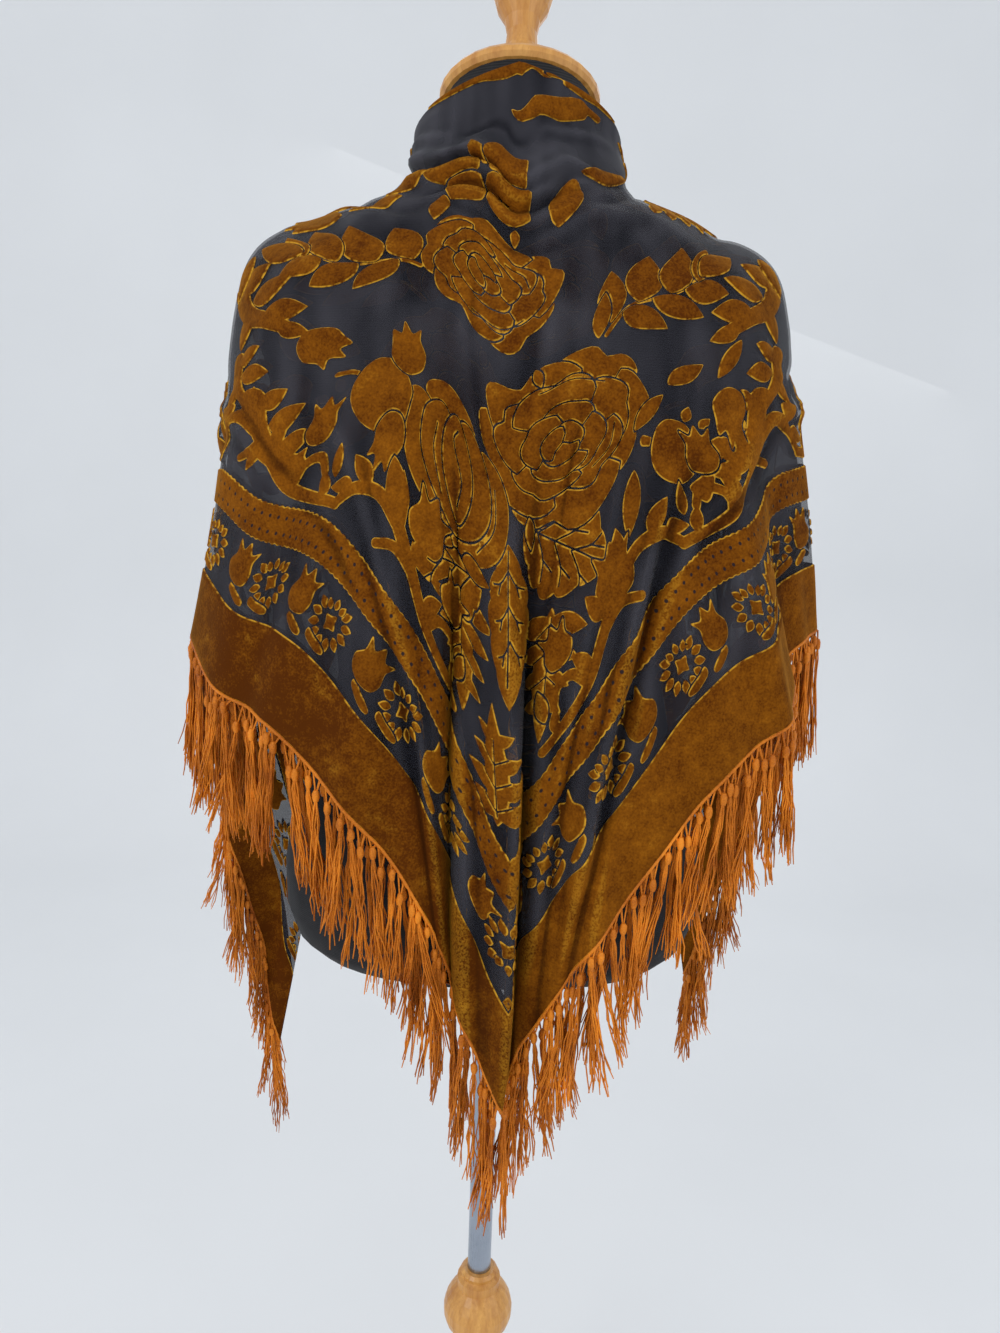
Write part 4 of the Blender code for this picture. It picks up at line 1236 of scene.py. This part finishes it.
@functools.lru_cache(maxsize=None)
def cover_material(name="form_cover_jersey"):
    """Matt black jersey with a fine rib and a little lint."""
    colours = bpy.context.scene.form_colours
    material, wire, shader, where = new_material(name)
    height = wire.node("SeparateXYZ", "Z", inputs={0: where})
    lint = wire.noise(where, 420.0, 2.0)
    fuzz = wire.noise(where, 60.0, 3.0)
    rows = wire.maths("SINE", height * 3600.0) * 0.5 + 0.5
    share = ((fuzz - 0.5) * 1.2 + rows * 0.3 + lint.ramp(0.66, 0.78) * 0.5 + 0.2).clamped()
    body = wire.mixed(share, colours.cover_dark, colours.cover_light)
    finish_shader(wire, shader,
                  {"Sheen Weight": 0.04, "Sheen Roughness": 0.5, "Specular IOR Level": 0.15},
                  {"Base Color": body, "Roughness": 0.84 + (fuzz - 0.5) * 0.1,
                   "Normal": wire.bump(rows * 0.6 + lint * 0.5, 0.3, 0.0006)})
    return material


# What a user may change.

def number(label, description, default, **more):
    return FloatProperty(name=label, description=description, default=default, **more)


def length(label, description, default):
    return number(label, description, default, unit="LENGTH")


def colour(label, description, default):
    return FloatVectorProperty(name=label, description=description, default=default, subtype="COLOR")


class ShawlSizes(bpy.types.PropertyGroup):
    """Sizes of the shawl's finish."""

    pile_height: length("Pile height", "How far the velvet stands off the ground", 0.0012)
    # The rim is the sloped edge of the pile; its gold colour is a painted highlight.
    rim_width: length("Rim width", "Width of the golden burnt-out edge", 0.0012)
    pile_step: length("Pile step", "Spacing of points inside a motif", 0.0052)
    outer_step: length("Outer ground step", "Spacing of the outer ground's weave", 0.0040)
    inner_step: length("Inner ground step", "Spacing of the inner ground's weave", 0.0058)
    hem_radius: length("Hem radius", "Radius of the rolled hem", 0.0014)
    knot_pitch: length("Knot pitch", "Distance between the fringe's knots", 0.0124)
    fringe_length: length("Fringe length", "From the hem to the thread ends", 0.115)
    thread_radius: length("Thread radius", "Radius of one fringe thread", 0.00056)
    knot_radius: length("Knot radius", "Radius of a fringe knot", 0.0027)
    threads: IntProperty(name="Threads", description="Threads that hang from each knot", default=9)


class ShawlColours(bpy.types.PropertyGroup):
    """Colours of the shawl."""

    # Deep and lit pile: random mottle, and also the shaded and lit copies for painted light and shade.
    velvet_deep: colour("Velvet, deep", "Pile that leans to the eye", (0.080, 0.019, 0.0006))
    velvet_lit: colour("Velvet, lit", "Pile that catches light", (0.250, 0.080, 0.003))
    # The gold is a painted highlight on crests and burnt-out edges.
    velvet_gold_highlight: colour("Velvet, gold", "Crests and burnt-out edges", (0.620, 0.320, 0.024))
    # The sheer ground is the lit copy and the sheer shade its painted shade in creases.
    sheer_ground: colour("Sheer ground", "The open ground in light", (0.058, 0.056, 0.067))
    sheer_shade: colour("Sheer shade", "The open ground in its creases", (0.013, 0.013, 0.018))
    thread_deep: colour("Thread, deep", "Darker fringe threads", (0.290, 0.062, 0.003))
    thread_lit: colour("Thread, lit", "Lighter fringe threads", (0.860, 0.270, 0.018))


class FormColours(bpy.types.PropertyGroup):
    """Colours of the dress form and its stand."""

    cover_dark: colour("Cover, dark", "The form's jersey cover", (0.008, 0.008, 0.009))
    cover_light: colour("Cover, light", "Lint on the cover", (0.024, 0.023, 0.025))
    wood_dark: colour("Wood, dark", "Grain lines", (0.430, 0.170, 0.030))
    wood_light: colour("Wood, light", "Pale wood", (0.700, 0.360, 0.090))
    steel_dark: colour("Steel, dark", "Smudged steel", (0.230, 0.260, 0.320))
    steel_light: colour("Steel, light", "Clean steel", (0.480, 0.530, 0.600))


class StudioSettings(bpy.types.PropertyGroup):
    """The stage, its light and the camera."""

    backdrop: colour("Backdrop", "Floor and wall", (0.80, 0.81, 0.82))
    key_power: number("Key light", "Power of the large window light", 34.0)
    fill_power: number("Fill light", "Power of the fill light", 14.0)
    lens: number("Lens", "Focal length in millimetres", 27.0)
    camera_height: length("Camera height", "Above the floor", 1.2)
    camera_distance: length("Camera distance", "Behind the form's axis", 0.82)
    pitch: number("Pitch", "How far the camera looks down", math.radians(12.0), subtype="ANGLE")
    roll: number("Roll", "Turn of the picture", math.radians(-2.0), subtype="ANGLE")


# Operators, one for each piece or group of like pieces.

def sheer_layer(name, step, inner, replaced=()):
    """One layer's sheer ground: a square grid in thread directions, cut along the fold."""
    segments = int(round(SQUARE_SIDE / step))
    work = bmesh.new()
    bmesh.ops.create_grid(work, x_segments=segments, y_segments=segments, size=SQUARE_SIDE / 2)
    bmesh.ops.translate(work, verts=work.verts[:], vec=(SQUARE_SIDE / 2, SQUARE_SIDE / 2, 0))
    bmesh.ops.bisect_plane(work, geom=work.verts[:] + work.edges[:] + work.faces[:], dist=1e-6,
                           plane_co=(SQUARE_SIDE / 2, SQUARE_SIDE / 2, 0), plane_no=(1, 1, 0),
                           clear_outer=True)
    cut = np.array([tuple(vertex.co)[:2] for vertex in work.verts])
    flat = np.stack([(cut[:, 1] - cut[:, 0]) / ROOT_TWO,
                     np.maximum(HALF_DIAGONAL - cut.sum(axis=1) / ROOT_TWO, 0.0)], axis=1)
    work.verts.index_update()
    faces = [tuple(vertex.index for vertex in face.verts) for face in work.faces]
    if inner:
        faces = [face[::-1] for face in faces]
    work.free()
    cloth = draped_cloth()
    mesh = new_mesh(name, cloth.place(flat, 0.0, inner), faces, flat,
                    crest=cloth.read(cloth.crest, flat))
    material = sheer_material(*(INNER_GROUND if inner else OUTER_GROUND))
    return add_piece(name, mesh, material, replaced)


class SHAWL_OT_ground(bpy.types.Operator):
    """Make the two layers of sheer ground"""

    bl_idname = "shawl.ground"
    bl_label = "Sheer ground"

    def execute(self, context):
        sizes = context.scene.shawl_sizes
        sheer_layer("shawl_outer_layer", sizes.outer_step, False,
                    ("shawl_collar", "shawl_back", "shawl_left_end", "shawl_right_end"))
        sheer_layer("shawl_inner_layer", sizes.inner_step, True)
        return {"FINISHED"}


class SHAWL_OT_velvet(bpy.types.Operator):
    """Raise the velvet flowers, scrolls and bands on both layers"""

    bl_idname = "shawl.velvet"
    bl_label = "Velvet"

    def execute(self, context):
        sizes = context.scene.shawl_sizes
        cloth = draped_cloth()
        for layer in ("outer", "inner"):
            for stretch, parts in velvet_stretches().items():
                flat, height, faces = joined(parts)
                if layer == "inner":
                    flat = flat * (-1.0, 1.0)
                    stretch = {"left_end": "right_end", "right_end": "left_end"}.get(stretch, stretch)
                share = 1.0 if layer == "outer" else INNER_PILE
                lift = GROUND_GAP + height * sizes.pile_height * share
                name = f"velvet_{layer}_{stretch}"
                mesh = new_mesh(name, cloth.place(flat, lift, layer == "inner"), faces, flat,
                                depth=height, crest=cloth.read(cloth.crest, flat))
                turn_outwards(mesh, layer == "inner")
                add_piece(name, mesh, velvet_material())
        return {"FINISHED"}


def turn_outwards(mesh, inwards):
    """Turn each face the way that the cloth's own face looks."""
    work = bmesh.new()
    work.from_mesh(mesh)
    bmesh.ops.remove_doubles(work, verts=work.verts[:], dist=0.00001)
    work.normal_update()
    cloth = draped_cloth()
    layer = work.loops.layers.uv["flat"]
    middles = np.array([tuple(face.loops[0][layer].uv) for face in work.faces])
    outs = cloth.read(cloth.outs, middles)
    normals = np.array([tuple(face.normal) for face in work.faces])
    facing = np.sum(outs * normals, axis=1) * (-1.0 if inwards else 1.0)
    bmesh.ops.reverse_faces(work, faces=[face for face, way in zip(work.faces, facing) if way < 0])
    work.to_mesh(mesh)
    work.free()
    mesh.shade_smooth()


def smooth_mesh(name, work):
    """A shaded mesh from a bmesh, which is freed."""
    mesh = bpy.data.meshes.new(name)
    work.to_mesh(mesh)
    work.free()
    mesh.shade_smooth()
    return mesh


def curve_mesh(name, splines, radius, resolution):
    """A mesh of round threads: each spline is a list of points and a list of radius shares."""
    curve = bpy.data.curves.new(name, "CURVE")
    curve.dimensions = "3D"
    curve.bevel_depth = radius
    curve.bevel_resolution = resolution
    curve.use_fill_caps = True
    for points, shares in splines:
        spline = curve.splines.new("POLY")
        spline.points.add(len(points) - 1)
        homogeneous = np.hstack([points, np.ones((len(points), 1))])
        spline.points.foreach_set("co", homogeneous.ravel())
        spline.points.foreach_set("radius", np.asarray(shares, dtype=float))
    holder = bpy.data.objects.new(name + "_line", curve)
    mesh = bpy.data.meshes.new_from_object(holder)
    bpy.data.objects.remove(holder)
    bpy.data.curves.remove(curve)
    mesh.name = name
    mesh.shade_smooth()
    return mesh


# The rolled hem: its points from the back corner to an end, and the ripple in its radius.
HEM_ALONG = np.linspace(0.0005, SQUARE_SIDE - 0.002, 420)
HEM_RIPPLE = 0.16
HEM_TWIST = 2.4


class SHAWL_OT_hem(bpy.types.Operator):
    """Roll a golden hem round the outer edges of both layers"""

    bl_idname = "shawl.hem"
    bl_label = "Rolled hem"

    def execute(self, context):
        sizes = context.scene.shawl_sizes
        cloth = draped_cloth()
        left, right = [border_place(HEM_ALONG, np.zeros_like(HEM_ALONG), side) for side in (-1, 1)]
        flat = np.vstack([left[::-1], right])
        for layer in ("outer", "inner"):
            points = cloth.place(flat, GROUND_GAP, layer == "inner")
            ripple = 1.0 + HEM_RIPPLE * np.sin(np.arange(len(points)) * HEM_TWIST)
            name = f"hem_{layer}"
            mesh = curve_mesh(name, [(points, ripple)], sizes.hem_radius, 1)
            add_piece(name, mesh, thread_material())
        return {"FINISHED"}


# The fringe's scatter in metres.  The knots: how far below the hem, out of the cloth, along the
# hem and from straight, and their rings (height and share of the radius).
KNOT_DROP = (0.008, 0.019)
KNOT_OUT = (0.0, 0.003)
KNOT_ASIDE = (-0.003, 0.003)
KNOT_TWIST = (-0.0006, 0.0006)
KNOT_RINGS = ((-0.0044, 0.55), (-0.0016, 1.0), (0.0016, 1.0), (0.0044, 0.7))
# The locks: lean aside and out, and how much shorter than the fringe.
LOCK_LEAN = 0.0105
LOCK_OUT = (-0.002, 0.005)
LOCK_SHORTER = (0.0, 0.012)
# The threads: reach of their roots along the hem, how much shorter than the lock, splay aside
# and out, and the height of their slow waves and of their kinks.
ROOT_REACH = 0.0050
THREAD_SHORTER = 0.010
THREAD_SHORTEST = 0.035
THREAD_SPLAY = (0.0022, 0.0020)
THREAD_WAVE = (0.0010, 0.0034)
THREAD_KINK = (0.0004, 0.0011)


def fringe_threads(side, low, high, inner, seed):
    """Splines of one stretch of fringe: threads gathered in a knot, left to hang and kink."""
    sizes = bpy.context.scene.shawl_sizes
    cloth = draped_cloth()
    random = np.random.default_rng(seed)
    threads = []
    knots = []
    count = int((high - low) / sizes.knot_pitch)
    stations = low + (np.arange(count) + 0.5 + random.uniform(-0.2, 0.2, count)) * (high - low) / count
    at_hem = np.zeros(count)
    middle = cloth.place(border_place(stations, at_hem, side), 0.0, inner)
    after = cloth.place(border_place(stations + ROOT_REACH, at_hem, side), 0.0, inner)
    outs = cloth.read(cloth.outs, border_place(stations, at_hem, side)) * (-1.0 if inner else 1.0)
    down = np.array((0.0, 0.0, -1.0))
    shares = np.linspace(0.0, 1.0, 9)
    for hem, tangent, out in zip(middle, unit(after - middle), outs):
        out = unit(out * (1.0, 1.0, 0.0))
        aside = unit(np.cross(down, out))
        drop = random.uniform(*KNOT_DROP)
        knot = hem + down * drop + out * random.uniform(*KNOT_OUT)
        knot = knot + tangent * random.uniform(*KNOT_ASIDE)
        ends = [knot + down * step + tangent * random.uniform(*KNOT_TWIST) for step, _ in KNOT_RINGS]
        knots.append((np.array(ends), [share for _, share in KNOT_RINGS]))
        lean = aside * random.normal(0.0, LOCK_LEAN) + out * random.uniform(*LOCK_OUT)
        reach = sizes.fringe_length - drop - random.uniform(*LOCK_SHORTER)
        for number in range(sizes.threads):
            sign = 1 if number % 2 else -1
            root = hem + tangent * (ROOT_REACH * sign * random.uniform(0.7, 1.0))
            length = reach - min(abs(random.normal(0.0, THREAD_SHORTER)), THREAD_SHORTEST)
            splay = (aside * random.normal(0.0, THREAD_SPLAY[0])
                     + out * random.normal(0.0, THREAD_SPLAY[1]))
            line = knot + shares[:, None] * down * length + (lean + splay) * shares[:, None] ** 1.3
            for way, share in ((aside, 1.0), (out, 0.6)):
                slow = random.uniform(0.5, 1.3) * shares + random.uniform(0.0, 1.0)
                kinks = random.uniform(2.0, 3.4) * shares + random.uniform(0.0, 1.0)
                wave = random.uniform(*THREAD_WAVE) * np.sin(2 * math.pi * slow) * np.sqrt(shares)
                wave += random.uniform(*THREAD_KINK) * np.sin(2 * math.pi * kinks)
                line = line + way * ((wave - wave[0]) * share)[:, None]
            threads.append((np.vstack([root, line]), (1.0,) * 9 + (0.7,)))
    return threads, knots


class SHAWL_OT_fringe(bpy.types.Operator):
    """Hang the knotted fringe from both layers"""

    bl_idname = "shawl.fringe"
    bl_label = "Knotted fringe"

    def execute(self, context):
        sizes = context.scene.shawl_sizes
        seam = seam_length()
        stretches = (("back_left", -1, FRINGE_INSET, seam), ("back_right", 1, FRINGE_INSET, seam),
                     ("left_end", -1, seam, SQUARE_SIDE - FRINGE_INSET),
                     ("right_end", 1, seam, SQUARE_SIDE - FRINGE_INSET))
        for number, (stretch, side, low, high) in enumerate(stretches):
            for inner in (False, True):
                layer = "inner" if inner else "outer"
                name = f"fringe_{layer}_{stretch}"
                threads, knots = fringe_threads(side, low, high, inner, 20 * number + inner)
                mesh = curve_mesh(name, threads, sizes.thread_radius, 0)
                knot_mesh = curve_mesh(name + "_knots", knots, sizes.knot_radius, 1)
                work = bmesh.new()
                work.from_mesh(mesh)
                work.from_mesh(knot_mesh)
                work.to_mesh(mesh)
                work.free()
                mesh.shade_smooth()
                replaced = () if inner else (f"fringe_{stretch}",)
                add_piece(name, mesh, thread_material(), replaced)
        return {"FINISHED"}


class SHAWL_OT_declare(bpy.types.Operator):
    """Look up each layer's sheet by name, changing nothing"""

    bl_idname = "shawl.declare"
    bl_label = "Declare the cloth"

    def execute(self, context):
        for layer in ("outer", "inner"):
            bpy.data.objects[f"shawl_{layer}_layer"]
        return {"FINISHED"}


class FORM_OT_torso(bpy.types.Operator):
    """Smooth the limbless torso and give it its jersey cover"""

    bl_idname = "form.torso"
    bl_label = "Torso"

    def execute(self, context):
        source = bpy.data.objects["form_torso"]
        work = bmesh.new()
        work.from_mesh(source.data)
        bmesh.ops.remove_doubles(work, verts=work.verts[:], dist=0.00002)
        bmesh.ops.join_triangles(work, faces=work.faces[:], angle_face_threshold=math.radians(40),
                                 angle_shape_threshold=math.radians(50))
        mesh = smooth_mesh("form_torso_cover", work)
        add_piece("form_torso_cover", mesh, cover_material(), ("form_torso",))
        return {"FINISHED"}


class FORM_OT_stand(bpy.types.Operator):
    """Give the wooden parts and the pole their finishes"""

    bl_idname = "form.stand"
    bl_label = "Cap, handle and stand"

    def execute(self, context):
        for name in ("neck_cap", "neck_finial", "stand_ball", "stand_column", "stand_base"):
            bpy.data.objects[name].material_slots[0].material = wood_material()
        bpy.data.objects["stand_pole"].material_slots[0].material = steel_material()
        return {"FINISHED"}


# The lights: name, place, height that they aim at on the form's axis, size and setting.
LIGHTS = (
    ("window_light", (-1.9, -2.3, 2.3), 1.05, 1.9, "key_power"),
    ("fill_light", (2.3, -1.5, 1.7), 1.0, 1.6, "fill_power"),
    ("front_light", (0.4, 2.4, 2.2), 1.0, 2.0, "fill_power"),
)


class STUDIO_OT_stage(bpy.types.Operator):
    """Set up the pale floor and wall, the soft light and the camera"""

    bl_idname = "studio.stage"
    bl_label = "Stage"

    def execute(self, context):
        studio = context.scene.studio
        self.backdrop(studio)
        for name, place, height, size, power in LIGHTS:
            self.light(name, place, (0.0, 0.0, height), size, getattr(studio, power))
        world = bpy.data.worlds.new("soft_room")
        world.use_nodes = True
        sky = world.node_tree.nodes["Background"].inputs
        sky["Color"].default_value = (0.86, 0.90, 0.95, 1.0)
        sky["Strength"].default_value = 0.85
        context.scene.world = world
        context.scene.view_settings.view_transform = "Standard"
        camera_data = bpy.data.cameras.new("photo_camera")
        camera_data.sensor_fit = "AUTO"
        camera_data.sensor_width = 36.0
        camera_data.lens = studio.lens
        camera = bpy.data.objects.new("photo_camera", camera_data)
        context.scene.collection.objects.link(camera)
        forward = Vector((0.0, math.cos(studio.pitch), -math.sin(studio.pitch)))
        up = Vector((0.0, math.sin(studio.pitch), math.cos(studio.pitch)))
        right = Vector((1.0, 0.0, 0.0))
        tilted_right = right * math.cos(studio.roll) - up * math.sin(studio.roll)
        tilted_up = right * math.sin(studio.roll) + up * math.cos(studio.roll)
        turn = Matrix((tilted_right, tilted_up, -forward)).transposed().to_4x4()
        place = Matrix.Translation((0.0, -studio.camera_distance, studio.camera_height))
        camera.matrix_world = place @ turn
        context.scene.camera = camera
        return {"FINISHED"}

    def light(self, name, place, target, size, power):
        data = bpy.data.lights.new(name, "AREA")
        data.shape = "SQUARE"
        data.size = size
        data.energy = power
        lamp = bpy.data.objects.new(name, data)
        lamp.location = place
        aim = Vector(target) - Vector(place)
        lamp.rotation_euler = aim.to_track_quat("-Z", "Y").to_euler()
        bpy.context.scene.collection.objects.link(lamp)

    def backdrop(self, studio):
        """A floor that sweeps up into a wall behind the form as the camera sees it."""
        material, wire, shader, where = new_material("pale_backdrop")
        cloudy = wire.noise(where, 2.0, 3.0)
        shade = tuple(channel * 0.93 for channel in studio.backdrop)
        finish_shader(wire, shader, {"Roughness": 0.9},
                      {"Base Color": wire.mixed(cloudy, shade, studio.backdrop)})
        work = bmesh.new()
        half, bend, front, back, top = 4.0, 0.8, -4.0, 2.6, 4.0
        line = [(front, 0.0), (back - bend, 0.0)]
        for step in range(1, 13):
            angle = math.pi / 2 * step / 12
            line.append((back - bend + bend * math.sin(angle), bend - bend * math.cos(angle)))
        line.append((back, top))
        vertices = [work.verts.new((-half, y, z)) for y, z in line]
        edges = [work.edges.new(pair) for pair in zip(vertices, vertices[1:])]
        swept = bmesh.ops.extrude_edge_only(work, edges=edges)["geom"]
        bmesh.ops.translate(work, vec=(2 * half, 0, 0),
                            verts=[item for item in swept if isinstance(item, bmesh.types.BMVert)])
        bmesh.ops.recalc_face_normals(work, faces=work.faces[:])
        stage = bpy.data.objects.new("studio_backdrop", smooth_mesh("studio_backdrop", work))
        stage.data.materials.append(material)
        bpy.context.scene.collection.objects.link(stage)


OPERATORS = (SHAWL_OT_ground, SHAWL_OT_velvet, SHAWL_OT_hem, SHAWL_OT_fringe, SHAWL_OT_declare,
             FORM_OT_torso, FORM_OT_stand, STUDIO_OT_stage)


class SHAWL_PT_panel(bpy.types.Panel):
    """Lists the steps and their settings in the 3D view's sidebar"""

    bl_idname = "SHAWL_PT_panel"
    bl_label = "Burnout velvet shawl"
    bl_space_type = "VIEW_3D"
    bl_region_type = "UI"
    bl_category = "Shawl"

    def draw(self, context):
        for operator in OPERATORS:
            self.layout.operator(operator.bl_idname)
        for group in (context.scene.shawl_sizes, context.scene.shawl_colours,
                      context.scene.form_colours, context.scene.studio):
            box = self.layout.box()
            for title in group.__annotations__:
                box.prop(group, title)


GROUPS = (("shawl_sizes", ShawlSizes), ("shawl_colours", ShawlColours),
          ("form_colours", FormColours), ("studio", StudioSettings))


def register():
    for title, group in GROUPS:
        bpy.utils.register_class(group)
        setattr(bpy.types.Scene, title, PointerProperty(type=group))
    for made in (*OPERATORS, SHAWL_PT_panel):
        bpy.utils.register_class(made)


def unregister():
    for made in reversed((*OPERATORS, SHAWL_PT_panel)):
        bpy.utils.unregister_class(made)
    for title, group in reversed(GROUPS):
        delattr(bpy.types.Scene, title)
        bpy.utils.unregister_class(group)


def main():
    register()
    for operator in OPERATORS:
        group, title = operator.bl_idname.split(".")
        getattr(getattr(bpy.ops, group), title)()


if __name__ == "__main__":
    main()
